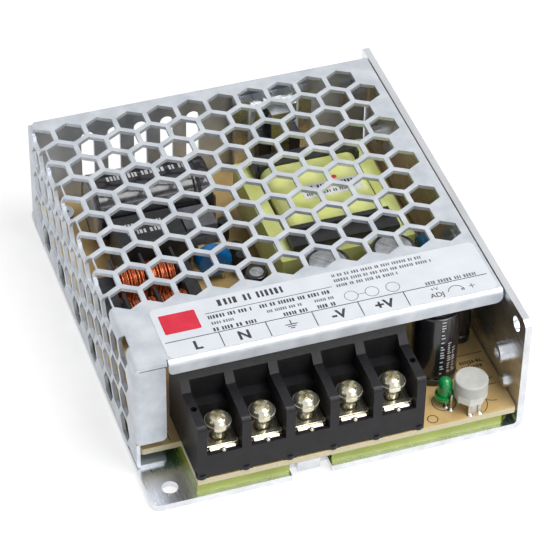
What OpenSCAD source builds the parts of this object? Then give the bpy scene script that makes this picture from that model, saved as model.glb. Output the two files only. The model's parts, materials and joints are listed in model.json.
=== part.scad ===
// Enclosed switching power supply: a folded aluminium chassis, a perforated folded
// steel cover and a circuit board with a five-way screw terminal block at the front.
// Millimetres. +X is right seen from the terminals, +Y is to the back, +Z is up.
// The origin is the middle of the case's underside.

/* [Case] */
// Length of the case, from the terminal end to the back end
case_l = 99; // [96:1:112]
// Width of the case
case_w = 82; // [81:1:92]
// Height of the case
case_h = 30; // [29.5:0.5:36]
// Thickness of the chassis sheet
chassis_t = 1.5; // [1.2:0.1:1.8]
// Inside radius of the chassis bends
chassis_bend_in = 0.8; // [0.4:0.1:1.2]
// Radius of the chassis corners
chassis_corner_r = 2; // [1:0.5:3]
// Width of the notch in the front edge of the plate
notch_w = 8.8; // [7.5:0.1:11]
// Depth of that notch
notch_d = 3.5; // [3:0.1:4.5]
// Distance of the notch's middle to the left of the case's middle
notch_off = 6.4; // [5:0.1:8]
// Width of the board rest folded up in the notch
rest_w = 5; // [3:0.1:6]

/* [Cover] */
// Thickness of the cover sheet
cover_t = 0.8; // [0.6:0.1:1]
// Inside radius of the cover bends
cover_bend_in = 0.4; // [0.3:0.1:0.6]
// Distance from the chassis's front edge to the cover
cover_front = 11.5; // [11:0.5:13]
// Distance from the chassis's back edge to the cover
cover_back = 3.2; // [2.5:0.1:4]
// Gap between the cover and the chassis wall
cover_gap = 0.3; // [0.2:0.05:0.5]
// Width of the seam where two folded edges meet
seam = 0.25; // [0.15:0.05:0.4]
// Height of the lip folded down over the terminals
lip_h = 3.4; // [2.5:0.1:4]
// Width of the flange folded round the front left corner
flange_w = 6.6; // [5:0.1:6.8]
// Height of the opening under that flange
flange_up = 8.2; // [7.5:0.1:9]
// Width across the flats of a mesh hole
hex_af = 6; // [4.5:0.1:6.2]
// Distance between neighbouring mesh holes in a row
hex_pitch = 7.1; // [6.9:0.1:8]
// Distance between rows of mesh holes
row_pitch = 6.27; // [6.2:0.01:7.2]
// Distance from the cover's back edge to the first row of holes
mesh_back = 6.6; // [5.5:0.1:9]
// Distance from the cover's right edge to the first column of holes
mesh_right = 4.8; // [4.3:0.1:7]
// Depth of the plain strip that carries the label
label_strip = 20; // [19.5:0.5:23]
// Depth of the plain strip at the front of the side
side_strip = 7; // [6:0.5:12]
// Height of the plain strip at the foot of the side
foot_strip = 5.5; // [5:0.1:8]
// Width of a slot in the back wall
slot_w = 3; // [2:0.1:3.5]
// Distance between the back wall's slots
slot_pitch = 6.2; // [5:0.1:7]
// Height of the slots' upper ends
slot_top = 24.2; // [21:0.1:26]
// Height of the slots' lower ends
slot_foot = 8; // [7.5:0.1:10]
// Thickness of the label
label_t = 0.1; // [0.05:0.05:0.2]
// Depth of the label
label_d = 15.2; // [12:0.1:16]

/* [Board] */
// Height of the board's upper face
board_top = 6.2; // [6:0.1:6.8]
// Thickness of the board
board_t = 1.6; // [1.2:0.1:1.8]
// Gap between the board's edges and the walls
board_gap = 0.2; // [0.1:0.05:0.4]
// Thickness of the insulating sheet
film_t = 0.4; // [0.25:0.05:0.5]
// Length of the board's front tongue, which carries the terminals
tongue_l = 11.9; // [11.5:0.1:13]
// Radius of a board screw's shank
board_screw_r = 1.2; // [1:0.05:1.4]

/* [Mounting] */
// Radius of the plain mounting holes
mount_r = 1.75; // [1.6:0.05:2.1]
// Distance of the plate's mounting hole from the left edge
mount_x = 5; // [4.8:0.1:6]
// Distance of the plate's mounting hole from the front edge
mount_y = 4.5; // [4:0.1:5.5]
// Radius of the tapped side holes
tap_r = 1.25; // [1.1:0.05:1.4]
// Height of the tapped side holes
tap_z = 15; // [13:0.1:16]
// Distance of the front tapped hole from the front edge
tap_front = 8.6; // [8.6:0.1:10]
// Distance of the back tapped hole from the back edge
tap_back = 14.1; // [12:0.1:16]
// Length of the collars drawn inwards round the tapped holes
tap_collar = 2; // [1:0.1:2.5]

/* [Terminals] */
// Number of terminals
terminals = 5; // [5:1:5]
// Distance between terminals
term_pitch = 9.5; // [9.2:0.1:9.7]
// Thickness of the barriers
barrier_t = 2; // [1.4:0.1:2.2]
// Depth of the terminal block
block_d = 20; // [19.5:0.1:21]
// Distance from the block's front to the screw axes
screw_back = 4.7; // [4.6:0.1:5]
// Height of the block's front wall above the board
sill_h = 6.5; // [6:0.1:6.7]
// Height of the barriers above the board
barrier_h = 14.6; // [13.5:0.1:15.2]
// Height of the block's back above the board
block_h = 18; // [17.5:0.1:18.5]
// Thickness of a contact plate
contact_t = 1; // [0.8:0.05:1.2]
// Height of the contact plates' upper face above the board
contact_up = 6; // [5.8:0.1:6.2]
// Radius of a terminal screw's shank
shank_r = 1.5; // [1.3:0.05:1.65]
// Running clearance round a shank in its contact
shank_gap = 0.05; // [0.03:0.01:0.08]
// Radius of a terminal screw's head
head_r = 2.8; // [2.6:0.05:3]
// Height of a terminal screw's head
head_h = 2.2; // [1.8:0.1:2.4]
// Thickness of a lock washer
washer_t = 0.6; // [0.4:0.05:0.7]
// Thickness of a clamp
clamp_t = 0.8; // [0.6:0.05:0.9]
// Distance a screw stands above its clamp
screw_lift = 3.2; // [2.6:0.1:3.4]

/* [Trimmer] */
// Radius of the trimmer's knob
knob_r = 3.6; // [3.2:0.1:3.8]
// Height of the knob
knob_h = 2.9; // [2.4:0.1:3.2]
// Height of the trimmer's base above the board
trim_up = 2.8; // [2:0.1:3.2]
// Height of the trimmer's base
trim_h = 2; // [1.8:0.1:2.4]
// Radius of the knob's spindle
spindle_r = 1.2; // [1:0.05:1.6]
// Running clearance round the spindle
spindle_gap = 0.05; // [0.03:0.01:0.08]

/* [Components] */
// Radius of the indicator's dome
led_r = 1.6; // [1.4:0.1:2]
// Height of the indicator
led_h = 5.3; // [4.5:0.1:6]
// Length of the fuse
fuse_l = 14; // [12:0.5:15]
// Width of the mains choke
choke_w = 21; // [20:0.5:22]
// Depth of the mains choke
choke_d = 14.6; // [14:0.1:16]
// Width of the film capacitor
film_cap_w = 14.8; // [12:0.1:15]
// Depth of the film capacitor
film_cap_d = 10.4; // [8:0.1:11]
// Height of the film capacitor
film_cap_h = 12; // [10:0.5:15]
// Width and depth of the bridge rectifier
bridge_w = 7.2; // [6:0.1:8]
// Radius of the mains capacitor
bulk_r = 8; // [7:0.1:8.4]
// Length of the mains capacitor
bulk_l = 27; // [24:0.5:28]
// Radius of the output capacitors
out_r = 5; // [4:0.1:5.2]
// Height of the output capacitors
out_h = 19; // [15:0.5:21]
// Width of the transformer's core
core_w = 30; // [28:0.5:31]
// Length of the transformer's core
core_l = 34; // [32:0.5:35]
// Height of the transformer's core
core_h = 10.5; // [9:0.1:11]
// Radius of the component leads
lead_r = 0.35; // [0.25:0.05:0.45]
// Radius of the disc capacitors
disc_r = 4.2; // [3:0.1:4.5]
// Radius of the filter choke
drum_r = 4.6; // [3.5:0.1:5]
// Thickness of the heatsink
sink_t = 1.5; // [1:0.1:2]
// Width of the heatsink
sink_w = 18.5; // [14:0.5:20]

/* [Hidden] */

$fn = 48;
eps = 0.01;

// Case faces
left_x = -case_w / 2;
right_x = case_w / 2;
front_y = -case_l / 2;
back_y = case_l / 2;
wall_in = right_x - chassis_t;
chassis_bend_out = chassis_bend_in + chassis_t;
notch_x = -notch_off;
notch_y = front_y + notch_d;

// Cover faces
cover_top = case_h - label_t;
cover_x0 = left_x;
cover_x1 = wall_in - cover_gap;
cover_y0 = front_y + cover_front;
cover_y1 = back_y - cover_back;
cover_bend = cover_bend_in + cover_t;
flange_x = cover_x0 + flange_w;
flange_top = cover_top - cover_t - seam;
lip_x0 = flange_x + 0.7;
lip_bottom = cover_top - lip_h;
foot_tab_l = 6.5;
latch_y0 = cover_y1 - 9.1;
latch_y1 = cover_y1 - 1.8;
hex_r = hex_af / sqrt(3);
cover_flat_w = cover_x1 - cover_x0;
mesh_len = cover_y1 - mesh_back - cover_y0;
top_rows = floor((mesh_len - label_strip) / row_pitch) + 1;
side_rows = floor((mesh_len - side_strip) / row_pitch) + 1;
mesh_cols = ceil((cover_flat_w + cover_top) / hex_pitch);

// Rear tab of the chassis, which takes the cover screw
rear_tab_y = cover_y1 - cover_t;
rear_tab_z = cover_top - 5.6;
rear_tab_h = 6;
rear_tab_x = wall_in - 6.5;
cover_screw_x = wall_in - 4;

// Board and sheet
board_foot = board_top - board_t;
board_x0 = cover_x0 + cover_t + board_gap;
board_x1 = wall_in - board_gap;
board_y0 = front_y + 0.3;
board_y1 = rear_tab_y - 0.6;
tongue_x0 = left_x + 9.8;
tongue_y = board_y0 + tongue_l;
boss_h = board_foot - chassis_t;
boss_top_r = 2.9;
boss_foot_r = 4.2;
boss_spots = [[left_x + 5.2, back_y - 10.5], [right_x - 7, back_y - 11.5],
    [left_x + 5.2, back_y - 36.5]];
film_x0 = board_x0 + 0.4;
film_x1 = wall_in - chassis_bend_in - 0.3;
film_y0 = board_y0 + 0.6;
film_y1 = board_y1 - 0.3;

// Terminal block
block_w = terminals * term_pitch + barrier_t;
block_x0 = tongue_x0;
block_y0 = board_y0;
block_y1 = block_y0 + block_d;
screw_y = block_y0 + screw_back;
sill_t = 0.9;
sill_z = board_top + sill_h;
barrier_z = board_top + barrier_h;
contact_z = board_top + contact_up;
cell_w = term_pitch - barrier_t;
cell_side_gap = 0.15;
clamp_curl = 0.15;
clamp_reach = screw_back - sill_t - clamp_t - clamp_curl - 0.1;
clamp_z = contact_z + clamp_t;
head_z = clamp_z + screw_lift;
shank_tail = 0.4;
well_depth = shank_tail + screw_lift + 0.1;
function cell_x(k) = block_x0 + barrier_t / 2 + term_pitch * (k - 0.5);

// Components stand in rows. The space that a row's pieces leave is dealt out by shares:
// one before each piece and one after the last
function total(v, n) = n == 0 ? 0 : v[n - 1] + total(v, n - 1);
function spare(lo, hi, sizes) = hi - lo - total(sizes, len(sizes));
function low_edge(lo, hi, sizes, shares, i) = lo + total(sizes, i)
    + spare(lo, hi, sizes) * total(shares, i + 1) / total(shares, len(shares));
function middle(lo, hi, sizes, shares, i) = low_edge(lo, hi, sizes, shares, i) + sizes[i] / 2;

// Trimmer and indicator, between the block and the wall
block_x1 = block_x0 + block_w;
led_flange_r = led_r + 0.5;
front_sizes = [2 * led_r, 2 * knob_r - 1];
front_shares = [53, 2, 63];
led_x = middle(block_x1, wall_in, front_sizes, front_shares, 0);
trim_x = middle(block_x1, wall_in, front_sizes, front_shares, 1);
led_reach = led_r + knob_r + 0.2;
trim_y = board_y0 + knob_r + 0.1;
trim_z = board_top + trim_up;
knob_z = trim_z + trim_h + 0.1;
led_y = trim_y + sqrt(max(0, pow(led_reach, 2) - pow(trim_x - led_x, 2)));
led_z = board_top + 1.7;

// The transformer, the mains capacitor and their rows
tape_t = 0.35;
core_zone_w = core_w + 2 * tape_t;
core_zone_l = core_l + 2 * tape_t;
sink_depth = 8.2;
back_sizes = [bulk_l, core_zone_w];
back_shares = [87, 59, 76];
bulk_x = low_edge(board_x0, board_x1, back_sizes, back_shares, 0);
core_x = middle(board_x0, board_x1, back_sizes, back_shares, 1);
core_sizes = [2 * out_r, core_zone_l, sink_depth];
core_shares = [108, 20, 86, 1];
core_y = middle(block_y1, board_y1, core_sizes, core_shares, 1);
core_z = board_top + 4.2;
choke_leg = 3.2;
coil_r = 4;
coil_wire = 0.9;
coil_sleeve = 0.45;
coil_turns = 7;
choke_zone = choke_d + 2 * coil_r - choke_leg;
fuse_zone = fuse_l + 4;
mains_sizes = [fuse_zone, choke_zone, film_cap_d, 2 * bulk_r];
mains_shares = [10, 18, 8, 3, 64];
function mains_y(i) = middle(block_y1, board_y1, mains_sizes, mains_shares, i);
fuse_y = mains_y(0) - fuse_l / 2;
choke_y = mains_y(1);
film_cap_y = mains_y(2);
bulk_y = mains_y(3);
core_leg = 3.6;
core_yoke = 5;
limb_w = 8;
flange_t = 1.4;
winding_h = board_top + 18 - core_z - core_h;

module block(lo, hi) {
    translate(lo) cube(hi - lo);
}

// A flat shape in x and z, drawn out along y
module along_y(y0, y1) {
    translate([0, y1, 0]) rotate([90, 0, 0]) linear_extrude(y1 - y0) children();
}

// A flat shape in y and z, drawn out along x
module along_x(x0, x1) {
    translate([x0, 0, 0]) rotate([90, 0, 90]) linear_extrude(x1 - x0) children();
}

module along_z(z0, z1) {
    translate([0, 0, z0]) linear_extrude(z1 - z0) children();
}

module rect(x0, x1, y0, y1) {
    translate([x0, y0]) square([x1 - x0, y1 - y0]);
}

// A quarter of a ring in the quadrant that sx and sy name, centred on the bend's axis
module bend(sx, sy, r_in, t) {
    intersection() {
        difference() {
            circle(r_in + t);
            circle(r_in);
        }
        scale([sx, sy]) square(r_in + t);
    }
}

// The waste left outside a rounded corner; sx and sy point from the round's centre
// to the corner
module corner_waste(r, sx, sy) {
    difference() {
        scale([sx, sy]) square(r + eps);
        circle(r);
    }
}

module round_rect(x0, x1, y0, y1, r) {
    difference() {
        rect(x0, x1, y0, y1);
        translate([x0 + r, y0 + r]) corner_waste(r, -1, -1);
        translate([x1 - r, y0 + r]) corner_waste(r, 1, -1);
        translate([x0 + r, y1 - r]) corner_waste(r, -1, 1);
        translate([x1 - r, y1 - r]) corner_waste(r, 1, 1);
    }
}

module rod(p, r, h) {
    translate(p) cylinder(r = r, h = h);
}

// A rod along x
module rod_x(p, r, l) {
    translate(p) rotate([0, 90, 0]) cylinder(r = r, h = l);
}

// A rod along y
module rod_y(p, r, l) {
    translate(p) rotate([-90, 0, 0]) cylinder(r = r, h = l);
}

// ---------------------------------------------------------------- chassis

module chassis_profile() {
    rect(left_x, right_x - chassis_bend_out, 0, chassis_t);
    rect(wall_in, right_x, chassis_bend_out, case_h);
    translate([right_x - chassis_bend_out, chassis_bend_out])
        bend(1, -1, chassis_bend_in, chassis_t);
}

// A hollow boss pressed up from the plate, tapped for a board screw
module board_boss() {
    rotate_extrude()
        polygon([[board_screw_r + 0.05, chassis_t], [boss_foot_r, chassis_t],
            [boss_top_r, chassis_t + boss_h], [board_screw_r + 0.05, chassis_t + boss_h]]);
}

module board_boss_hollow() {
    rotate_extrude()
        polygon([[0, -1], [boss_foot_r - 1.1, -1], [boss_foot_r - 1.1, 0],
            [boss_top_r - 0.9, boss_h - 0.2], [board_screw_r + 0.05, boss_h - 0.2],
            [board_screw_r + 0.05, board_top], [0, board_top]]);
}

module chassis() {
    color([0.83, 0.84, 0.85])
    difference() {
        union() {
            along_y(front_y, back_y) chassis_profile();
            for (p = boss_spots) translate([p[0], p[1], 0]) board_boss();
            // rest for the board's front edge, folded up in the notch
            block([notch_x - rest_w / 2, notch_y - chassis_t, 0],
                [notch_x + rest_w / 2, notch_y, board_foot]);
            for (y = [front_y + tap_front, back_y - tap_back])
                rod_x([wall_in - tap_collar, y, tap_z], tap_r + 1.05, tap_collar);
            // dimple that holds the board's right edge down
            translate([wall_in, front_y + tap_front - 1.7, board_top + 1.75])
                intersection() {
                    sphere(1.6);
                    block([-1.1, -2, -2], [0.5, 2, 2]);
                }
            // rear tab folded in from the wall
            along_z(rear_tab_z - rear_tab_h, rear_tab_z) {
                rect(rear_tab_x, right_x - chassis_bend_out,
                    rear_tab_y - chassis_t, rear_tab_y);
                translate([right_x - chassis_bend_out, rear_tab_y - chassis_bend_out])
                    bend(1, 1, chassis_bend_in, chassis_t);
            }
        }
        // notch, with the rest left standing in it
        difference() {
            block([notch_x - notch_w / 2, front_y - 1, -1],
                [notch_x + notch_w / 2, notch_y, chassis_t + 1]);
            block([notch_x - rest_w / 2, notch_y - chassis_t, -2],
                [notch_x + rest_w / 2, notch_y + 1, board_foot]);
        }
        // the wall's window behind the rear tab, which the tab was folded from
        difference() {
            block([wall_in - eps, rear_tab_y - chassis_bend_out, rear_tab_z - rear_tab_h],
                [right_x + 1, back_y + 1, rear_tab_z]);
            translate([right_x - chassis_bend_out, rear_tab_y - chassis_bend_out,
                rear_tab_z - rear_tab_h - 1])
                cylinder(r = chassis_bend_out, h = rear_tab_h + 2);
        }
        // recess for the cover's latch
        block([left_x - 1, latch_y0 - seam, -1],
            [cover_x0 + cover_t + seam, latch_y1 + seam, chassis_t + 1]);
        rod([left_x + mount_x, front_y + mount_y, -1], mount_r, chassis_t + 2);
        rod_x([wall_in - 1, front_y + mount_y, case_h - 3.7], mount_r, chassis_t + 2);
        for (y = [front_y + tap_front, back_y - tap_back])
            rod_x([wall_in - tap_collar - 1, y, tap_z], tap_r, tap_collar + chassis_t + 2);
        rod_y([cover_screw_x, rear_tab_y - chassis_t - 1, rear_tab_z - rear_tab_h / 2],
            board_screw_r + 0.05, chassis_t + 2);
        for (p = boss_spots) translate([p[0], p[1], 0]) board_boss_hollow();
        // rounded corners of the plate and the wall
        along_z(-1, chassis_t + 1) {
            translate([left_x + chassis_corner_r, front_y + chassis_corner_r])
                corner_waste(chassis_corner_r, -1, -1);
            translate([left_x + chassis_corner_r, back_y - chassis_corner_r])
                corner_waste(chassis_corner_r, -1, 1);
        }
        along_x(wall_in - 1, right_x + 1) {
            translate([front_y + chassis_corner_r, case_h - chassis_corner_r])
                corner_waste(chassis_corner_r, -1, 1);
            translate([back_y - chassis_corner_r / 2, case_h - chassis_corner_r / 2])
                corner_waste(chassis_corner_r / 2, 1, 1);
        }
    }
}

// ---------------------------------------------------------------- cover

// Rows run along x and are counted from the back; the pattern is laid out on the flat
// blank, so that it carries on round the bend and down the side
function row_y(k) = cover_y1 - mesh_back - k * row_pitch;
function hole_s(j, k) = mesh_right + hex_pitch * (j + (k % 2 == 0 ? 0.5 : 0));
function top_x(s) = cover_x1 - s;
function side_z(s) = cover_top - (s - cover_flat_w);

module hexagon() {
    rotate(30) circle(r = hex_r, $fn = 6);
}

module top_holes() {
    for (k = [0:top_rows - 1], j = [0:mesh_cols])
        if (hole_s(j, k) < cover_flat_w + hex_af / 2)
            translate([top_x(hole_s(j, k)), row_y(k)]) hexagon();
}

// In y and z
module side_holes() {
    for (k = [0:side_rows - 1], j = [0:mesh_cols]) {
        s = hole_s(j, k);
        round_bend = s > cover_flat_w - hex_af / 2 && k < top_rows;
        if ((round_bend || s > cover_flat_w + hex_af / 3) && side_z(s) > foot_strip)
            translate([row_y(k), side_z(s)]) rotate(30) hexagon();
    }
}

module top_sheet() {
    along_z(cover_top - cover_t, cover_top)
        difference() {
            union() {
                rect(cover_x0 + cover_bend, cover_x1, cover_y0 + cover_bend,
                    cover_y1 - cover_bend);
                rect(cover_x0 + cover_bend, lip_x0 - 0.4, cover_y0, cover_y0 + 2);
            }
            top_holes();
        }
}

module side_sheet() {
    tab_y1 = cover_y0 + foot_tab_l;
    along_x(cover_x0, cover_x0 + cover_t)
        difference() {
            union() {
                rect(cover_y0, cover_y1, chassis_t, cover_top - cover_bend);
                rect(latch_y0, latch_y1, 0.3, chassis_t + 1);
            }
            // the flange and the foot tab are folded from here
            rect(cover_y0 - 1, cover_y0 + cover_bend, flange_up, flange_top);
            rect(cover_y0 - 1, tab_y1, chassis_t - 1, chassis_t + cover_bend);
            rect(tab_y1 - eps, latch_y0 - seam, 0, chassis_t + seam);
            rect(latch_y1 + seam, cover_y1 + 1, 0, chassis_t + seam);
            side_holes();
        }
}

module side_bend() {
    difference() {
        along_y(cover_y0, cover_y1 - cover_bend)
            translate([cover_x0 + cover_bend, cover_top - cover_bend])
                bend(-1, 1, cover_bend_in, cover_t);
        along_z(cover_top - cover_bend, cover_top + 1)
            intersection() {
                top_holes();
                rect(cover_x0 - 9, cover_x0 + cover_bend, cover_y0, cover_y1);
            }
        along_x(cover_x0 - 1, cover_x0 + cover_bend)
            intersection() {
                side_holes();
                rect(cover_y0, cover_y1, cover_top - cover_bend, cover_top + 9);
            }
    }
}

module back_sheet() {
    slots_x0 = cover_x0 + 13.4;
    along_x(cover_x0 + cover_bend, cover_x1)
        translate([cover_y1 - cover_bend, cover_top - cover_bend])
            bend(1, 1, cover_bend_in, cover_t);
    along_y(cover_y1 - cover_t, cover_y1)
        difference() {
            union() {
                rect(cover_x0 + cover_bend, cover_x1, chassis_t + seam,
                    cover_top - cover_bend);
                rect(cover_x0 + cover_t + seam, cover_x0 + 2, chassis_t + seam,
                    cover_top - cover_bend);
            }
            for (i = [0:4]) {
                x = slots_x0 + i * slot_pitch;
                rect(x - slot_w / 2, x + slot_w / 2, slot_foot + slot_w / 2,
                    slot_top - slot_w / 2);
                translate([x, slot_foot + slot_w / 2]) circle(slot_w / 2);
                translate([x, slot_top - slot_w / 2]) circle(slot_w / 2);
            }
            translate([cover_screw_x, rear_tab_z - rear_tab_h / 2])
                circle(board_screw_r + 0.3);
        }
}

module front_lip() {
    along_x(lip_x0, cover_x1)
        translate([cover_y0 + cover_bend, cover_top - cover_bend])
            bend(-1, 1, cover_bend_in, cover_t);
    along_y(cover_y0, cover_y0 + cover_t)
        difference() {
            rect(lip_x0, cover_x1, lip_bottom, cover_top - cover_bend);
            translate([lip_x0 + 1, lip_bottom + 1]) corner_waste(1, -1, -1);
            translate([cover_x1 - 1.5, lip_bottom + 1.5]) corner_waste(1.5, 1, -1);
        }
}

module front_flange() {
    along_z(flange_up, flange_top)
        translate([cover_x0 + cover_bend, cover_y0 + cover_bend])
            bend(-1, -1, cover_bend_in, cover_t);
    along_y(cover_y0, cover_y0 + cover_t)
        difference() {
            rect(cover_x0 + cover_bend, flange_x, flange_up, flange_top);
            translate([flange_x - 1.2, flange_up + 1.2]) corner_waste(1.2, 1, -1);
            translate([flange_x - 0.5, flange_top - 0.5]) corner_waste(0.5, 1, 1);
        }
}

// Tab folded in under the side, which lies on the plate
module foot_tab() {
    along_y(cover_y0, cover_y0 + foot_tab_l)
        translate([cover_x0 + cover_bend, chassis_t + cover_bend])
            bend(-1, -1, cover_bend_in, cover_t);
    along_z(chassis_t, chassis_t + cover_t)
        difference() {
            rect(cover_x0 + cover_bend, flange_x, cover_y0, cover_y0 + foot_tab_l);
            translate([flange_x - 1, cover_y0 + 1]) corner_waste(1, 1, -1);
        }
}

module cover() {
    color([0.84, 0.86, 0.9])
    union() {
        top_sheet();
        side_bend();
        side_sheet();
        back_sheet();
        front_lip();
        front_flange();
        foot_tab();
    }
}

module cover_screw() {
    color([0.75, 0.75, 0.77])
    difference() {
        union() {
            rod_y([cover_screw_x, rear_tab_y - chassis_t - 0.5,
                rear_tab_z - rear_tab_h / 2], board_screw_r, chassis_t + cover_t + 0.6);
            rod_y([cover_screw_x, cover_y1, rear_tab_z - rear_tab_h / 2],
                board_screw_r * 2.2, 1.5);
        }
        for (a = [0, 90])
            translate([cover_screw_x, cover_y1 + 1.2, rear_tab_z - rear_tab_h / 2])
                rotate([0, a, 0]) cube([3, 1.6, 0.6], center = true);
    }
}

module rating_label() {
    y0 = cover_y0 + 1;
    color([0.93, 0.94, 0.97])
    along_z(cover_top, cover_top + label_t)
        round_rect(lip_x0 + 0.3, cover_x1 - 0.7, y0, y0 + label_d, 1.5);
}

// ---------------------------------------------------------------- board

// The board is narrower at the front, beside the plate's mounting hole
module board_outline(x0, y0) {
    difference() {
        rect(x0, board_x1, y0, board_y1);
        rect(x0 - 1, tongue_x0, y0 - 1, tongue_y);
        translate([x0 + 1, tongue_y + 1]) corner_waste(1, -1, -1);
        translate([board_x1 - 0.6, y0 + 0.6]) corner_waste(0.6, 1, -1);
    }
}

module circuit_board() {
    color([0.85, 0.72, 0.47])
    difference() {
        along_z(board_foot, board_top) board_outline(board_x0, board_y0);
        for (p = boss_spots)
            rod([p[0], p[1], board_foot - 1], board_screw_r + 0.4, board_t + 2);
    }
}

// A shallow tray with lips turned up at the front and the left of the tongue
module insulating_sheet() {
    step_y = tongue_y + 7.5;
    lip_z = board_foot - 0.1;
    notch_x0 = notch_x - notch_w / 2 - 0.3;
    notch_x1 = notch_x + notch_w / 2 + 0.3;
    color([0.75, 0.82, 0.35])
    difference() {
        union() {
            block([film_x0, step_y, chassis_t], [film_x1, film_y1, chassis_t + film_t]);
            block([tongue_x0, film_y0, chassis_t], [film_x1, step_y + 1, chassis_t + film_t]);
            block([tongue_x0, film_y0, chassis_t], [film_x1, film_y0 + film_t, lip_z]);
            block([tongue_x0, film_y0, chassis_t], [tongue_x0 + film_t, step_y, lip_z]);
            block([film_x0, step_y, chassis_t], [tongue_x0 + film_t, step_y + film_t, lip_z]);
        }
        block([notch_x0, film_y0 - 1, 0], [notch_x1, notch_y + 0.3, board_foot]);
        for (p = boss_spots) rod([p[0], p[1], 0], boss_foot_r + 0.3, board_foot);
        translate([film_x1, film_y0, 0])
            rotate(45) cube([3, 3, 20], center = true);
    }
}

module board_screws() {
    color([0.78, 0.78, 0.8])
    for (p = boss_spots)
        translate([p[0], p[1], 0])
        difference() {
            union() {
                rod([0, 0, board_foot - 1.6], board_screw_r, board_t + 1.7);
                rod([0, 0, board_top], board_screw_r * 2.2, 1.7);
            }
            for (a = [0, 90])
                translate([0, 0, board_top + 1.5]) rotate(a)
                    cube([3, 0.6, 1.8], center = true);
        }
}

// ---------------------------------------------------------------- terminal block

// In y and z, seen from the right
module barrier_profile() {
    nose = 1.1;
    slope_y = block_y0 + 10.8;
    difference() {
        polygon([[block_y0, board_top], [block_y0, barrier_z], [slope_y, barrier_z],
            [slope_y + 3, board_top + block_h], [block_y1, board_top + block_h],
            [block_y1, board_top]]);
        translate([block_y0 + nose, barrier_z - nose]) corner_waste(nose, -1, 1);
    }
}

// In y and z: the hollow over the contact, with a ledge half way up its back
module cell_profile() {
    ledge_y = screw_y + 5.2;
    ledge_z = contact_z + 5;
    bottom = contact_z - contact_t;
    rect(block_y0 - 1, ledge_y, sill_z, board_top + block_h + 1);
    rect(block_y0 + sill_t, ledge_y, bottom, sill_z + 1);
    rect(ledge_y - 1, ledge_y + 2.6, ledge_z, board_top + block_h + 1);
    // slot through which the contact passes to its pin
    rect(ledge_y - 1, ledge_y + 3, bottom, contact_z);
}

module terminal_block() {
    pin_y = screw_y + 7.4;
    color([0.2, 0.2, 0.22])
    difference() {
        union() {
            along_x(block_x0, block_x0 + block_w) barrier_profile();
            // round feet under the front edge
            for (k = [0:terminals])
                rod([block_x0 + barrier_t / 2 + k * term_pitch, block_y0 + 0.9, board_top],
                    1.2, 1);
        }
        for (k = [1:terminals]) {
            along_x(cell_x(k) - cell_w / 2, cell_x(k) + cell_w / 2) cell_profile();
            // well under the screw
            rod([cell_x(k), screw_y, contact_z - contact_t - well_depth], shank_r + 0.5,
                well_depth + 1);
            // way down for the contact's pin
            block([cell_x(k) - 1.3, pin_y - 0.6, board_top - 1],
                [cell_x(k) + 1.3, pin_y + 0.8, contact_z]);
        }
        // the underside stands clear of the board between the feet
        for (k = [1:terminals])
            block([cell_x(k) - cell_w / 2 + 0.4, block_y0 - 1, board_top - 1],
                [cell_x(k) + cell_w / 2 - 0.4, block_y0 + 2, board_top + 0.35]);
        // blind holes for a clip-on lid in the end barriers
        for (x = [block_x0 + barrier_t / 2, block_x0 + block_w - barrier_t / 2])
            rod([x, screw_y + 1.2, barrier_z - 1.5], 0.7, 2);
        along_y(block_y1 - 1.2, block_y1 + 1)
            for (k = [1:terminals])
                rect(cell_x(k) - 2.6, cell_x(k) + 2.6, board_top + 3, board_top + block_h - 3);
    }
}

module terminal_contact() {
    half = cell_w / 2 - cell_side_gap;
    y0 = -clamp_reach - clamp_curl + 0.1;
    y1 = 7.4;
    difference() {
        union() {
            block([-half, y0, -contact_t], [half, 5, 0]);
            block([-1.2, 4, -contact_t], [1.2, y1 + contact_t / 2, 0]);
            block([-1, y1 - contact_t / 2, -contact_up], [1, y1 + contact_t / 2, -eps]);
        }
        rod([0, 0, -contact_t - 1], shank_r + shank_gap, contact_t + 2);
    }
}

module terminal_contacts() {
    color([0.85, 0.82, 0.7])
    for (k = [1:terminals])
        translate([cell_x(k), screw_y, contact_z]) terminal_contact();
}

// In y and z: a flat strip whose front curls down past the contact's edge, with a bead
// pressed up across it
module clamp_profile() {
    rect(-clamp_reach, clamp_reach, 0, clamp_t);
    translate([-clamp_reach, -clamp_curl]) bend(-1, 1, clamp_curl, clamp_t);
    rect(-clamp_reach - clamp_curl - clamp_t, -clamp_reach - clamp_curl, -0.9, -clamp_curl);
    translate([-clamp_reach + 0.75, clamp_t - 0.12]) circle(0.42);
}

module terminal_clamp(k) {
    half = cell_w / 2 - cell_side_gap;
    color([0.86, 0.85, 0.78])
    translate([cell_x(k), screw_y, contact_z])
        difference() {
            along_x(-half, half) clamp_profile();
            rod([0, 0, -1], shank_r + 0.3, clamp_t + 2);
            // the curled front is narrower than the plate
            for (s = [-1, 1])
                block([s * (half - 0.45) - 0.45 - eps, -8, -2],
                    [s * (half - 0.45) + 0.45 + eps, -clamp_reach, 2]);
        }
}

module terminal_washer(k) {
    color([0.8, 0.8, 0.74])
    translate([cell_x(k), screw_y, head_z])
        difference() {
            cylinder(r = shank_r + 0.85, h = washer_t);
            rod([0, 0, -1], shank_r + shank_gap, washer_t + 2);
            // split of the lock washer
            rotate(40) block([0, -0.18, -1], [4, 0.18, 2]);
        }
}

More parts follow.
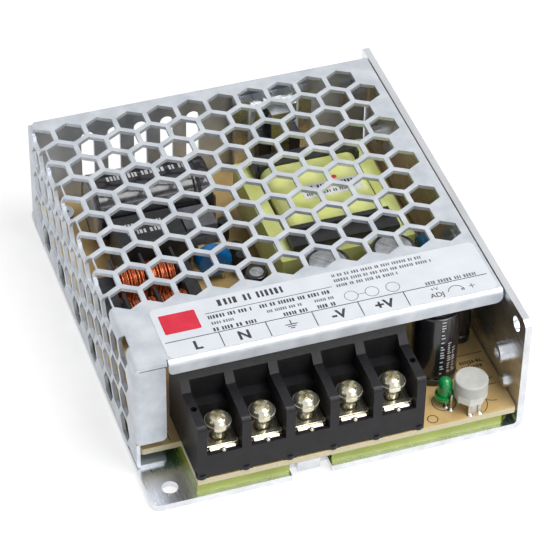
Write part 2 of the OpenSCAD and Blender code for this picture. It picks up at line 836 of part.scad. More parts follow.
// Pan head with a cross recess and a slot
module terminal_screw(k) {
    bottom = head_z + washer_t;
    recess = head_h * 0.6;
    color([0.88, 0.87, 0.8])
    translate([cell_x(k), screw_y, bottom])
        difference() {
            union() {
                rotate_extrude()
                    intersection() {
                        rect(0, head_r, 0, head_h);
                        translate([head_r - head_h, 0])
                            union() {
                                circle(head_h);
                                rect(head_h - head_r, eps, 0, head_h);
                                rect(0, head_h, 0, head_h * 0.35);
                            }
                    }
                rod([0, 0, contact_z - contact_t - shank_tail - bottom], shank_r,
                    bottom - contact_z + contact_t + shank_tail + eps);
            }
            rotate(35) {
                block([-head_r - 1, -0.35, head_h - recess * 0.6], [head_r + 1, 0.35, head_h + 1]);
                block([-0.45, -1.7, head_h - recess], [0.45, 1.7, head_h + 1]);
                block([-1.7, -0.45, head_h - recess], [1.7, 0.45, head_h + 1]);
            }
        }
}

// ---------------------------------------------------------------- indicator, trimmer

module indicator_lens() {
    flange_h = 1;
    color([0.06, 0.62, 0.31])
    translate([led_x, led_y, led_z]) {
        cylinder(r = led_flange_r, h = flange_h);
        cylinder(r = led_r, h = led_h - led_r);
        translate([0, 0, led_h - led_r]) sphere(led_r);
    }
}

// An eight-sided base on three legs, with a bore for the knob's spindle
module trimmer_base() {
    color([0.93, 0.93, 0.9])
    translate([trim_x, trim_y, trim_z])
        difference() {
            union() {
                rotate(22.5) cylinder(r = knob_r, h = trim_h, $fn = 8);
                for (a = [0, 120, 240])
                    rotate(a - 90) block([knob_r * 0.55, -0.7, -trim_up],
                        [knob_r * 0.55 + 0.6, 0.7, eps]);
            }
            rod([0, 0, 0.4], spindle_r + spindle_gap, trim_h + 1);
        }
}

module trimmer_knob() {
    color([0.79, 0.79, 0.76])
    translate([trim_x, trim_y, knob_z]) {
        rotate_extrude()
            difference() {
                rect(0, knob_r, 0, knob_h);
                translate([knob_r - 0.4, knob_h - 0.4]) corner_waste(0.4, 1, 1);
            }
        rod([0, 0, -trim_h + 0.5], spindle_r, trim_h);
    }
}

// ---------------------------------------------------------------- mains side

// The film capacitor, the bridge rectifier and the diodes, up to the transformer
diode_r = 1.35;
film_row = [film_cap_w, bridge_w, 2 * diode_r];
film_shares = [110, 9, 16, 35];
function film_row_x(i) = middle(board_x0, core_x - core_zone_w / 2, film_row, film_shares, i);

fuse_x = board_x0 + 6.5;
fuse_z = board_top + 3.4;

module fuse() {
    color([0.9, 0.88, 0.8])
    translate([fuse_x, fuse_y, fuse_z]) {
        rod_y([0, 0, 0], 2.6, 3);
        rod_y([0, 1, 0], 2.3, fuse_l - 2);
        rod_y([0, fuse_l - 3, 0], 2.6, 3);
    }
}

choke_x = board_x0 + 3.6 + choke_w / 2;
choke_z = board_top + 5.9;
coil_gap = (choke_w - 2 * choke_leg - 2 * coil_turns * coil_wire) / 3;
choke_leg_y = choke_d / 2 - choke_leg / 2;

module choke_core() {
    inner_x = choke_w / 2 - choke_leg;
    inner_y = choke_d / 2 - choke_leg;
    color([0.16, 0.16, 0.17])
    translate([choke_x, choke_y, choke_z - choke_leg / 2])
        difference() {
            block([-choke_w / 2, -choke_d / 2, 0], [choke_w / 2, choke_d / 2, choke_leg]);
            block([-inner_x, -inner_y, -1], [inner_x, inner_y, choke_leg + 1]);
        }
}

// x of the flange or coil of number i, counted from the left
function coil_x(i) = -choke_w / 2 + choke_leg + coil_gap
    + i * (coil_gap + coil_turns * coil_wire);

module choke_bobbins() {
    sleeve = choke_leg / 2 + coil_sleeve;
    inner_x = choke_w / 2 - choke_leg - 0.05;
    color([0.13, 0.13, 0.14])
    translate([choke_x, choke_y, choke_z])
        for (side = [-1, 1])
            translate([0, side * choke_leg_y, 0])
                difference() {
                    union() {
                        block([-inner_x, -sleeve, -sleeve], [inner_x, sleeve, sleeve]);
                        for (x = [-inner_x, -coil_gap / 2, inner_x - coil_gap + 0.05])
                            block([x, -3.5, board_top - choke_z],
                                [x + coil_gap - 0.05, 3.5, coil_r + 0.7]);
                    }
                    block([-choke_w, -choke_leg / 2 - 0.05, -choke_leg / 2 - 0.05],
                        [choke_w, choke_leg / 2 + 0.05, choke_leg / 2 + 0.05]);
                }
}

// One layer of round wire, wound side by side
module coil(turns, wire, r_out, r_in) {
    difference() {
        rotate_extrude() {
            rect(r_in, r_out - wire / 2, 0, turns * wire);
            for (i = [0:turns - 1])
                translate([r_out - wire / 2, (i + 0.5) * wire]) circle(wire / 2, $fn = 24);
        }
    }
}

module choke_windings() {
    bore = (choke_leg / 2 + coil_sleeve) * sqrt(2) + 0.05;
    color([0.8, 0.45, 0.28])
    translate([choke_x, choke_y, choke_z])
        for (side = [-1, 1], i = [0, 1])
            translate([coil_x(i), side * choke_leg_y, 0]) rotate([0, 90, 0])
                coil(coil_turns, coil_wire, coil_r, bore);
}

film_cap_x = film_row_x(0);

module film_capacitor() {
    lo = [film_cap_x - film_cap_w / 2, film_cap_y - film_cap_d / 2, board_top];
    hi = [film_cap_x + film_cap_w / 2, film_cap_y + film_cap_d / 2, board_top + film_cap_h];
    color([0.16, 0.16, 0.18])
    difference() {
        block(lo, hi);
        // chamfered upper edges along the length
        for (y = [lo[1], hi[1]])
            translate([0, y, hi[2]]) rotate([45, 0, 0])
                cube([2 * case_w, 0.9, 0.9], center = true);
        // recess under the base
        block([lo[0] + 1.5, lo[1] + 1.5, lo[2] - 1], [hi[0] - 1.5, hi[1] - 1.5, lo[2] + 0.5]);
    }
}

bridge_x = film_row_x(1);
bridge_y = film_cap_y + film_cap_d / 2 - bridge_w / 2;

module bridge_rectifier() {
    lo = [bridge_x - bridge_w / 2, bridge_y - bridge_w / 2, board_top + 0.6];
    hi = [bridge_x + bridge_w / 2, bridge_y + bridge_w / 2, board_top + 10.6];
    color([0.36, 0.37, 0.4])
    difference() {
        block(lo, hi);
        block([lo[0] + 1.6, lo[1] - 1, hi[2] - 3.2], [hi[0] - 2.4, lo[1] + 0.4, hi[2] - 2.6]);
        translate([hi[0], lo[1] - 1, hi[2]]) rotate([0, 45, 0]) cube([1.4, 20, 1.4], center = false);
    }
}

bulk_z = board_top + bulk_r + 0.05;

// A sleeved can with a crimp at its lead end, lying on the board
module bulk_capacitor() {
    rim = 1;
    color([0.13, 0.14, 0.16])
    translate([bulk_x, bulk_y, bulk_z]) rotate([0, 90, 0])
        rotate_extrude()
            difference() {
                rect(0, bulk_r, 0, bulk_l);
                translate([bulk_r - rim, rim]) corner_waste(rim, 1, -1);
                translate([bulk_r - rim, bulk_l - rim]) corner_waste(rim, 1, 1);
                translate([bulk_r + 0.5, bulk_l - 3.6]) circle(1);
                rect(-1, bulk_r - 1.4, -1, 0.5);
                rect(-1, bulk_r - 1.6, bulk_l - 0.6, bulk_l + 1);
            }
}

// Bare end of the can, scored with a cross to let pressure out
module bulk_capacitor_end() {
    color([0.8, 0.82, 0.84])
    translate([bulk_x, bulk_y, bulk_z])
        difference() {
            rod_x([0.1, 0, 0], bulk_r - 1.5, 0.4);
            for (a = [45, 135])
                rotate([a, 0, 0]) block([0, -bulk_r * 0.6, -0.15], [0.25, bulk_r * 0.6, 0.15]);
        }
}

// x, y, turn about z, radius, thickness and height of the middle of each disc
disc_up = 5.6;
disc_lead_x = 2.2;
disc_spots = [[bridge_x + 0.6, choke_y + 7.6, -12, disc_r, 3, disc_up],
    [(core_x + core_zone_w / 2 + wall_in) / 2, core_y - core_l * 0.4, 86, disc_r, 2.6, disc_up]];

module disc(r, t) {
    rotate([90, 0, 0]) rotate_extrude()
        intersection() {
            rect(0, r, -t / 2, t / 2);
            translate([r - t * 0.5, 0])
                union() {
                    circle(t * 0.5);
                    rect(-r, 0, -t / 2, t / 2);
                }
        }
}

module disc_capacitors() {
    color([0.05, 0.48, 0.75])
    for (d = disc_spots)
        translate([d[0], d[1], board_top + d[5]]) rotate(d[2]) disc(d[3], d[4]);
}

thermistor_spot = [fuse_x + 12.7, mains_y(0) - 1, 25, 5.2, 3.4, 6.6];

module thermistor() {
    d = thermistor_spot;
    color([0.15, 0.2, 0.17])
    translate([d[0], d[1], board_top + d[5]]) rotate(d[2]) disc(d[3], d[4]);
}

// Middle of each axial part, which lies along x at this height above the board
resistor_spots = [[bridge_x + 1.7, bridge_y - bridge_w / 2 - 1.7, 5],
    [fuse_x + 9.2, mains_y(0) + 5.4, 1.4]];
resistor_l = 6.4;
resistor_r = 1.25;
lead_out = 1.6;
lead_bend = 0.8;

module resistors() {
    color([0.78, 0.66, 0.48])
    for (p = resistor_spots)
        translate([p[0] - resistor_l / 2, p[1], board_top + p[2]]) {
            rod_x([0, 0, 0], resistor_r, 1.5);
            rod_x([1, 0, 0], resistor_r * 0.85, resistor_l - 2);
            rod_x([resistor_l - 1.5, 0, 0], resistor_r, 1.5);
        }
}

// Feet of the diodes that stand on end
diode_x = film_row_x(2);
diode_spots = [[diode_x, bridge_y + 1.5], [diode_x, bridge_y - 7.2],
    [diode_x + 0.4, bridge_y - 10.6]];
diode_up = 1.2;
diode_l = 5.2;

module diodes() {
    color([0.14, 0.14, 0.15])
    for (p = diode_spots) rod([p[0], p[1], board_top + diode_up], diode_r, diode_l);
}

// A wire that rises from the origin, turns through a right angle and runs along +x
module bent_wire(up, out) {
    cylinder(r = lead_r, h = up - lead_bend);
    translate([lead_bend, 0, up - lead_bend]) rotate([90, 0, 0]) rotate(90)
        rotate_extrude(angle = 90) translate([lead_bend, 0]) circle(lead_r);
    rod_x([lead_bend, 0, up], lead_r, out - lead_bend);
}

// A lead that leaves an axial part along x and turns down to the board
module axial_lead(p, s) {
    translate([p[0] + s * (resistor_l / 2 + lead_out), p[1], board_top])
        rotate(s > 0 ? 180 : 0) bent_wire(p[2], lead_out);
}

module component_leads() {
    color([0.8, 0.74, 0.6]) {
        for (p = resistor_spots, s = [-1, 1]) axial_lead(p, s);
        for (p = diode_spots) rod([p[0], p[1], board_top], lead_r, diode_up);
        for (d = concat(disc_spots, [thermistor_spot]), s = [-1, 1])
            translate([d[0], d[1], board_top]) rotate(d[2])
                rod([s * disc_lead_x, 0, 0], lead_r,
                    d[5] - sqrt(pow(d[3], 2) - pow(disc_lead_x - lead_r, 2)));
        for (s = [-1, 1]) {
            rod([led_x, led_y + s * 1.27, board_top], lead_r, led_z - board_top);
            translate([bulk_x + bulk_l + 1.2, bulk_y + s * 3.2, board_top]) rotate(180)
                bent_wire(bulk_z - board_top, 1.8);
        }
        for (s = [-1, 1])
            translate([fuse_x, fuse_y + fuse_l / 2 + s * (fuse_l / 2 + lead_out), board_top])
                rotate(-90 * s) bent_wire(fuse_z - board_top, lead_out);
        for (i = [-1.5:1.5]) rod([bridge_x + i * 1.8, bridge_y, board_top], lead_r, 0.6);
    }
}

// ---------------------------------------------------------------- power devices

sink_x0 = core_x - sink_w / 2 - 1;
sink_x1 = sink_x0 + sink_w;
sink_y = board_y1 - sink_t - 1.1;
sink_top = cover_top - cover_t - 2.5;
case_t = 4.4;
tab_t = 1.3;
device_w = 10;
pad_t = 0.3;
rect_y = core_y - core_zone_l / 2 - 9.6;
rect_x = wall_in - pad_t;

// Aluminium plate that stands on the board on two feet, with its top edge turned back
module heatsink() {
    color([0.8, 0.81, 0.82])
    difference() {
        union() {
            block([sink_x0, sink_y, board_top + 1.2], [sink_x1, sink_y + sink_t, sink_top]);
            block([sink_x0, sink_y, sink_top - sink_t], [sink_x1, sink_y + sink_t + 0.9, sink_top]);
            for (x = [sink_x0 + 1, sink_x1 - 3.4])
                block([x, sink_y, board_top], [x + 2.4, sink_y + sink_t, board_top + 2]);
        }
        for (x = [sink_x0 + 4.5, sink_x1 - 4.5])
            rod_y([x, sink_y - 1, sink_top - 5], 1.2, sink_t + 2);
    }
}

// A flat power device seen from its front: tab against the plane y = 0, leads down
module device_tab() {
    difference() {
        block([-device_w / 2, -tab_t, 3.2], [device_w / 2, 0, 18.6]);
        rod_y([0, -tab_t - 1, 15.9], 1.85, tab_t + 2);
        for (s = [-1, 1])
            translate([s * device_w / 2, -1, 13.4]) rotate([0, 45, 0])
                cube([0.9, 4, 0.9], center = true);
    }
    for (x = [-2.54, 0, 2.54])
        block([x - 0.4, -tab_t - 1.5, 0], [x + 0.4, -tab_t - 0.95, 3.6]);
}

module device_body() {
    difference() {
        block([-device_w / 2, -case_t, 3.2], [device_w / 2, -tab_t, 12.4]);
        rod_y([0, -case_t - 1, 10.4], 0.8, 1.2);
        for (x = [-2.54, 0, 2.54])
            block([x - 0.4, -tab_t - 1.5, 0], [x + 0.4, -tab_t - 0.95, 3.6]);
    }
}

// The switching transistor on the heatsink and the rectifier on the chassis wall
module device_places() {
    translate([(sink_x0 + sink_x1) / 2, sink_y - pad_t, board_top]) children();
    translate([rect_x, rect_y, board_top]) rotate(-90) children();
}

module transistor_tabs() {
    color([0.78, 0.78, 0.8]) device_places() device_tab();
}

module transistor_bodies() {
    color([0.12, 0.12, 0.13]) device_places() device_body();
}

module insulating_pads() {
    color([0.85, 0.87, 0.88])
    device_places()
        block([-device_w / 2 - 1, 0, 2], [device_w / 2 + 1, pad_t, 18.2]);
}

// A spring strip that presses on the device's face and reaches over it
module transistor_clips() {
    color([0.75, 0.76, 0.78])
    device_places()
        along_x(-2.2, 2.2) {
            rect(-case_t - 0.7, -case_t, 6, 19.5);
            rect(-case_t - 0.7, pad_t, 18.9, 19.5);
        }
}

// ---------------------------------------------------------------- transformer

module transformer_core() {
    window_x = core_w / 2 - core_leg;
    window_y = core_l / 2 - core_yoke;
    color([0.12, 0.12, 0.13])
    translate([core_x, core_y, core_z])
        difference() {
            block([-core_w / 2, -core_l / 2, 0], [core_w / 2, core_l / 2, core_h]);
            for (s = [-1, 1])
                block([min(s * limb_w / 2, s * window_x), -window_y, -1],
                    [max(s * limb_w / 2, s * window_x), window_y, core_h + 1]);
        }
}

// Two flanges on a sleeve round the core's middle limb, with a rail of pins at each end
module transformer_bobbin() {
    fit = 0.1;
    window_y = core_l / 2 - core_yoke - fit;
    half_x = core_w / 2 - core_leg - fit;
    color([0.1, 0.1, 0.11])
    translate([core_x, core_y, core_z])
        difference() {
            union() {
                block([-limb_w / 2 - 1, -window_y, -1.1], [limb_w / 2 + 1, window_y, core_h + 1.1]);
                for (s = [-1, 1])
                    translate([0, s * (window_y - flange_t / 2), 0])
                        block([-half_x, -flange_t / 2, -3],
                            [half_x, flange_t / 2, core_h + winding_h + 0.6]);
                // lower rails under the core's yokes and upper ledges over them
                for (m = [0, 1], z = [[board_top - core_z + 0.8, -fit],
                    [core_h + 0.6, core_h + 2.6]])
                    mirror([0, m, 0])
                        block([-half_x - 1, window_y - flange_t, z[0]],
                            [half_x + 1, core_l / 2 - 1.2, z[1]]);
            }
            block([-limb_w / 2 - fit, -core_l, -fit], [limb_w / 2 + fit, core_l, core_h + fit]);
        }
}

// The wound coil under its yellow tape
module transformer_winding() {
    half_y = core_l / 2 - core_yoke - 0.2 - flange_t;
    half_x = core_w / 2 - core_leg - 0.3;
    low = board_top + 1 - core_z;
    color([0.88, 0.92, 0.55])
    translate([core_x, core_y, core_z])
        difference() {
            along_y(-half_y, half_y) round_rect(-half_x, half_x, low, core_h + winding_h, 2.5);
            block([-limb_w / 2 - 1.05, -core_l, -1.15], [limb_w / 2 + 1.05, core_l, core_h + 1.15]);
        }
}

// Tape drawn round the outside of the core
module transformer_tape() {
    wrap = tape_t;
    color([0.86, 0.9, 0.52])
    translate([core_x, core_y, core_z])
        difference() {
            along_z(0.3, core_h + wrap)
                round_rect(-core_w / 2 - wrap, core_w / 2 + wrap, -core_l / 2 - wrap,
                    core_l / 2 + wrap, wrap);
            block([-core_w / 2, -core_l / 2, -1], [core_w / 2, core_l / 2, core_h]);
            block([-core_w / 2 + core_leg - 0.4, -core_l / 2 + core_yoke * 0.55, -1],
                [core_w / 2 - core_leg + 0.4, core_l / 2 - core_yoke * 0.55, core_h + 2]);
        }
}

module transformer_pins() {
    color([0.8, 0.8, 0.78])
    for (s = [-1, 1], i = [-2:2])
        translate([core_x + i * 4, core_y + s * (core_l / 2 - core_yoke / 2 - 0.5), board_top])
            rod([0, 0, 0], lead_r, 0.8);
}

// ---------------------------------------------------------------- output side

module optocoupler() {
    color([0.1, 0.1, 0.11])
    translate([bridge_x + 0.8, block_y1 + 3.8, board_top]) {
        difference() {
            block([-2.3, -3.2, 0.6], [2.3, 3.2, 4]);
            rod([-1.4, 2.3, 3.7], 0.4, 1);
        }
        for (sx = [-1, 1], sy = [-1, 1])
            block([sx * 2.6 - 0.3, sy * 1.3 - 0.4, 0], [sx * 2.6 + 0.3, sy * 1.3 + 0.4, 2.2]);
    }
}

// Right of the block, before the transformer, and between these two
out_y = middle(block_y1, board_y1, core_sizes, core_shares, 0);
out_spots = [[block_x1 + (wall_in - block_x1) * 0.38, block_y1 - out_r + 0.8],
    [core_x - core_w / 4, out_y], [core_x + core_w / 4, out_y]];

// A sleeved can with a rolled groove near its foot
module can(r, h) {
    rotate_extrude()
        difference() {
            rect(0, r, 0, h);
            translate([r - 0.5, h - 0.5]) corner_waste(0.5, 1, 1);
            translate([r + 0.35, 2.2]) circle(0.7, $fn = 24);
            rect(-1, r - 0.9, h - 0.3, h + 1);
        }
}

module output_capacitors() {
    color([0.14, 0.14, 0.16])
    for (p = out_spots) translate([p[0], p[1], board_top]) can(out_r, out_h);
}

module can_top(r, h) {
    difference() {
        rod([0, 0, h - 0.3], r - 0.95, 0.25);
        for (a = [45, 135])
            rotate(a) block([-r * 0.6, -0.12, h - 0.15], [r * 0.6, 0.12, h + 1]);
    }
}

// x, y, radius and height of each small capacitor
small_spots = [[diode_x, choke_y - 4.7, 2.5, 11], [bridge_x, out_y + 0.2, 3.1, 12],
    [wall_in - 4, rect_y - device_w / 2 - 3.9, 2.5, 11]];

module small_capacitors() {
    color([0.13, 0.13, 0.15])
    for (p = small_spots) translate([p[0], p[1], board_top]) can(p[2], p[3]);
}

module capacitor_tops() {
    color([0.85, 0.86, 0.88]) {
        for (p = out_spots) translate([p[0], p[1], board_top]) can_top(out_r, out_h);
        for (p = small_spots) translate([p[0], p[1], board_top]) can_top(p[2], p[3]);
    }
}

drum_spot = [diode_x + 1.4, block_y1 + drum_r + 2.6];
drum_h = 9.5;

// A ferrite drum on end
module filter_choke_core() {
    color([0.15, 0.15, 0.16])
    translate([drum_spot[0], drum_spot[1], board_top]) {
        cylinder(r = drum_r, h = 1.4);
        cylinder(r = drum_r * 0.55, h = drum_h);
        rod([0, 0, drum_h - 1.4], drum_r, 1.4);
    }
}

module filter_choke_winding() {
    turns = 7;
    color([0.8, 0.45, 0.28])
    translate([drum_spot[0], drum_spot[1], board_top + 1.45])
        coil(turns, (drum_h - 2.9) / turns, drum_r - 0.3, drum_r * 0.55 + 0.05);
}

// ---------------------------------------------------------------- nodes

chassis();
cover();
cover_screw();
rating_label();
insulating_sheet();
circuit_board();
board_screws();
terminal_block();
terminal_contacts();
terminal_clamp(1);  // terminal_clamp_1
terminal_clamp(2);  // terminal_clamp_2
terminal_clamp(3);  // terminal_clamp_3
terminal_clamp(4);  // terminal_clamp_4
terminal_clamp(5);  // terminal_clamp_5
terminal_washer(1);  // terminal_washer_1
terminal_washer(2);  // terminal_washer_2
terminal_washer(3);  // terminal_washer_3
terminal_washer(4);  // terminal_washer_4
terminal_washer(5);  // terminal_washer_5
terminal_screw(1);  // terminal_screw_1
terminal_screw(2);  // terminal_screw_2
terminal_screw(3);  // terminal_screw_3
terminal_screw(4);  // terminal_screw_4
terminal_screw(5);  // terminal_screw_5
indicator_lens();
trimmer_base();
trimmer_knob();
fuse();
choke_core();
choke_bobbins();
choke_windings();
film_capacitor();
bridge_rectifier();
bulk_capacitor();
bulk_capacitor_end();
disc_capacitors();
thermistor();
resistors();
diodes();
component_leads();
heatsink();
transistor_tabs();
transistor_bodies();
transistor_clips();
insulating_pads();
transformer_core();
transformer_bobbin();
transformer_winding();
transformer_tape();
transformer_pins();
optocoupler();
output_capacitors();
capacitor_tops();
small_capacitors();
filter_choke_core();
filter_choke_winding();
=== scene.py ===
# %% [markdown]
# # A switching power supply in a mesh case
# The supply is a folded aluminium chassis with a board in it, under a steel cover that is
# pierced with hexagonal holes. The shapes come ready made as a fixed frame. This lesson
# gives each of them the finish of the real material, and adds what is printed, soldered
# and pressed: the label's marks, the board's legend, sleeves and joints.

# %% Load the frame
import json
import math
import random

import bmesh
import bpy
from mathutils import Matrix, Vector


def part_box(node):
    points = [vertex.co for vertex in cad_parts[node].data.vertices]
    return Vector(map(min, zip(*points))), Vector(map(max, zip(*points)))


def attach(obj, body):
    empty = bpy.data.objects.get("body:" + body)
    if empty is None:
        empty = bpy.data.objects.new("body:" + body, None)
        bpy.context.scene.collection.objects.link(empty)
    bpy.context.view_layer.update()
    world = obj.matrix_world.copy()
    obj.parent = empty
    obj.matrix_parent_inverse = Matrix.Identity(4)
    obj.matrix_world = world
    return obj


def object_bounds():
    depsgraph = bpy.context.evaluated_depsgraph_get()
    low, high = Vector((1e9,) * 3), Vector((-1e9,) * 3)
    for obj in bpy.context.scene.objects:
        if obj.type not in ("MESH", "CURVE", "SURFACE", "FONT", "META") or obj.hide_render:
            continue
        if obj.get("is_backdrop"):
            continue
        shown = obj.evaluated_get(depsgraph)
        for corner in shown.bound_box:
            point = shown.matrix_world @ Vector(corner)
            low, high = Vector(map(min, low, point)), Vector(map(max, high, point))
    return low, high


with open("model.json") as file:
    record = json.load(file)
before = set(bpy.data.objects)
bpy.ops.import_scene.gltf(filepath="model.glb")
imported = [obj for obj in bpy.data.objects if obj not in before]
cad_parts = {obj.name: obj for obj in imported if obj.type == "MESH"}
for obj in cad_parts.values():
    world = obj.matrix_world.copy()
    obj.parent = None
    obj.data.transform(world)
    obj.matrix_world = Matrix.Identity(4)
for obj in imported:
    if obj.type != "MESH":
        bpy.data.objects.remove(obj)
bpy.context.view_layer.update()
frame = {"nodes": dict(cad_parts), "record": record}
slot_of = {row["node"]: row["material_slot"] for row in frame["record"]["subparts"]}
MM = 0.001

# %% [markdown]
# ## Camera
# A long lens from well above the front left corner keeps the case's edges nearly
# parallel. The camera is placed by where it aims, how far off it stands, and its two
# angles. That is easier to read and to change than a matrix.

# %% Place the camera
TARGET = Vector((1.243, -5.290, 15.0)) * MM
DISTANCE, AZIMUTH, ELEVATION, ROLL = 591.91 * MM, -19.482, 41.906, 1.205


def standing_off(azimuth, elevation):
    a, e = math.radians(azimuth), math.radians(elevation)
    return Vector((math.sin(a) * math.cos(e), -math.cos(a) * math.cos(e), math.sin(e)))


camera = bpy.data.objects.new("camera", bpy.data.cameras.new("camera"))
bpy.context.scene.collection.objects.link(camera)
LENS, SENSOR = 175.23, 36
camera.data.lens, camera.data.sensor_width = LENS, SENSOR
camera.data.clip_start, camera.data.clip_end = 0.02, 10
away = standing_off(AZIMUTH, ELEVATION)
camera.location = TARGET + away * DISTANCE
turn = (-away).to_track_quat("-Z", "Y").to_matrix().to_4x4()
roll = Matrix.Rotation(math.radians(ROLL), 4, "Z")
camera.rotation_euler = (turn @ roll).to_euler()
bpy.context.scene.camera = camera
print("camera at", [round(v / MM) for v in camera.location], "mm")

# %% [markdown]
# ## Studio
# A product like this is lit by large soft boxes over a white sweep. The boxes give the
# sheet metal its broad soft sheen, and a weak world fills the inside of the case. The
# floor and the world are white to the camera and to mirror-like surfaces alone, so the
# background is white without any extra light on the part, and the floor still shows a
# soft shadow.

# %% Soft boxes
def soft_box(name, azimuth, elevation, distance, size, watts):
    light = bpy.data.lights.new(name, "AREA")
    light.shape, light.size, light.energy = "DISK", size, watts
    lamp = bpy.data.objects.new(name, light)
    out = standing_off(azimuth, elevation)
    lamp.location = out * distance
    lamp.rotation_euler = (-out).to_track_quat("-Z", "Y").to_euler()
    bpy.context.scene.collection.objects.link(lamp)
    print(name, watts, "W at", elevation, "degrees up")
    return lamp


soft_box("overhead_box", 55, 66, 0.9, 0.55, 5.9)
soft_box("front_box", 20, 32, 1.0, 0.45, 2.2)
soft_box("left_box", -95, 22, 1.0, 0.5, 0.3)

# %% White to the camera, plain to everything else
def only_seen(tree):
    """1 for rays from the camera, from gloss and through glass, 0 for the light's own."""
    path = tree.nodes.new("ShaderNodeLightPath")
    value = path.outputs["Is Camera Ray"]
    for other in ("Is Glossy Ray", "Is Transmission Ray"):
        most = tree.nodes.new("ShaderNodeMath")
        most.operation = "MAXIMUM"
        tree.links.new(value, most.inputs[0])
        tree.links.new(path.outputs[other], most.inputs[1])
        value = most.outputs[0]
    return value


world = bpy.data.worlds.new("studio")
bpy.context.scene.world = world
world.use_nodes = True
tree = world.node_tree
ambient = tree.nodes["Background"]
ambient.inputs["Color"].default_value = (1, 1, 1, 1)
ambient.inputs["Strength"].default_value = 0.22
seen = tree.nodes.new("ShaderNodeBackground")
seen.inputs["Strength"].default_value = 1
mix = tree.nodes.new("ShaderNodeMixShader")
tree.links.new(only_seen(tree), mix.inputs[0])
tree.links.new(ambient.outputs[0], mix.inputs[1])
tree.links.new(seen.outputs[0], mix.inputs[2])
tree.links.new(mix.outputs[0], tree.nodes["World Output"].inputs["Surface"])

# %% The floor
bm = bmesh.new()
bmesh.ops.create_grid(bm, x_segments=1, y_segments=1, size=4)
bmesh.ops.translate(bm, vec=(0, 0, -0.0002), verts=bm.verts)
mesh = bpy.data.meshes.new("floor")
bm.to_mesh(mesh)
bm.free()
floor = bpy.data.objects.new("floor", mesh)
bpy.context.scene.collection.objects.link(floor)
floor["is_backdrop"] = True

paper = bpy.data.materials.new("floor_paper")
paper.use_nodes = True
tree = paper.node_tree
tree.nodes.remove(tree.nodes["Principled BSDF"])
plain = tree.nodes.new("ShaderNodeBsdfDiffuse")
plain.inputs["Color"].default_value = (0.8, 0.8, 0.8, 1)
dimmed = tree.nodes.new("ShaderNodeBsdfDiffuse")
dimmed.inputs["Color"].default_value = (0.42, 0.42, 0.42, 1)
glow = tree.nodes.new("ShaderNodeEmission")
glow.inputs["Strength"].default_value = 0.72
both = tree.nodes.new("ShaderNodeAddShader")
mix = tree.nodes.new("ShaderNodeMixShader")
tree.links.new(dimmed.outputs[0], both.inputs[0])
tree.links.new(glow.outputs[0], both.inputs[1])
tree.links.new(only_seen(tree), mix.inputs[0])
tree.links.new(plain.outputs[0], mix.inputs[1])
tree.links.new(both.outputs[0], mix.inputs[2])
tree.links.new(mix.outputs[0], tree.nodes["Material Output"].inputs["Surface"])
floor.data.materials.append(paper)

scene = bpy.context.scene
scene.view_settings.view_transform = "Standard"
print("floor and world made")

# %% [markdown]
# ## Tools for a finish
# Each finish is a Principled shader with noise behind it. A noise read in Object
# coordinates stays where it is on the metal or plastic, from every side. Stretching it
# along one direction makes rolling marks, and leaving it round makes grain. The same few
# helpers serve all finishes, so they are written once.

# %% Colours and the shader
def ink(red, green, blue):
    """A screen colour, 0 to 255, as the linear colour that the shader wants."""
    def linear(c):
        c = c / 255
        return c / 12.92 if c <= 0.04045 else ((c + 0.055) / 1.055) ** 2.4

    return (linear(red), linear(green), linear(blue), 1)


def new_finish(name, roughness, metallic=0.0, **sockets):
    finish = bpy.data.materials.new(name)
    finish.use_nodes = True
    shader = finish.node_tree.nodes["Principled BSDF"]
    shader.inputs["Roughness"].default_value = roughness
    shader.inputs["Metallic"].default_value = metallic
    for socket, value in sockets.items():
        shader.inputs[socket.replace("_", " ")].default_value = value
    return finish, finish.node_tree, shader


# %% Grain, colour and relief
def place(tree, stretch=(1, 1, 1)):
    where = tree.nodes.new("ShaderNodeTexCoord")
    mapping = tree.nodes.new("ShaderNodeMapping")
    mapping.inputs["Scale"].default_value = stretch
    tree.links.new(where.outputs["Object"], mapping.inputs["Vector"])
    return mapping.outputs["Vector"]


def grain(tree, size, stretch=(1, 1, 1), detail=4.0):
    """Noise whose lumps are about size millimetres across."""
    noise = tree.nodes.new("ShaderNodeTexNoise")
    noise.inputs["Scale"].default_value = 1 / (size * MM)
    noise.inputs["Detail"].default_value = detail
    tree.links.new(place(tree, stretch), noise.inputs["Vector"])
    return noise.outputs["Fac"]


def between(tree, value, dark, light, low=0.3, high=0.7):
    ramp = tree.nodes.new("ShaderNodeValToRGB")
    ramp.color_ramp.elements[0].position = low
    ramp.color_ramp.elements[1].position = high
    ramp.color_ramp.elements[0].color = dark
    ramp.color_ramp.elements[1].color = light
    tree.links.new(value, ramp.inputs["Fac"])
    return ramp.outputs["Color"]


def spread(tree, value, low, high):
    reach = tree.nodes.new("ShaderNodeMapRange")
    reach.inputs["From Min"].default_value = 0.3
    reach.inputs["From Max"].default_value = 0.7
    reach.inputs["To Min"].default_value = low
    reach.inputs["To Max"].default_value = high
    tree.links.new(value, reach.inputs["Value"])
    return reach.outputs["Result"]


def raised(tree, shader, value, depth, strength=0.5):
    """Relief of about depth millimetres."""
    bump = tree.nodes.new("ShaderNodeBump")
    bump.inputs["Strength"].default_value = strength
    bump.inputs["Distance"].default_value = depth * MM
    tree.links.new(value, bump.inputs["Height"])
    if shader.inputs["Normal"].links:
        tree.links.new(shader.inputs["Normal"].links[0].from_socket, bump.inputs["Normal"])
    tree.links.new(bump.outputs["Normal"], shader.inputs["Normal"])


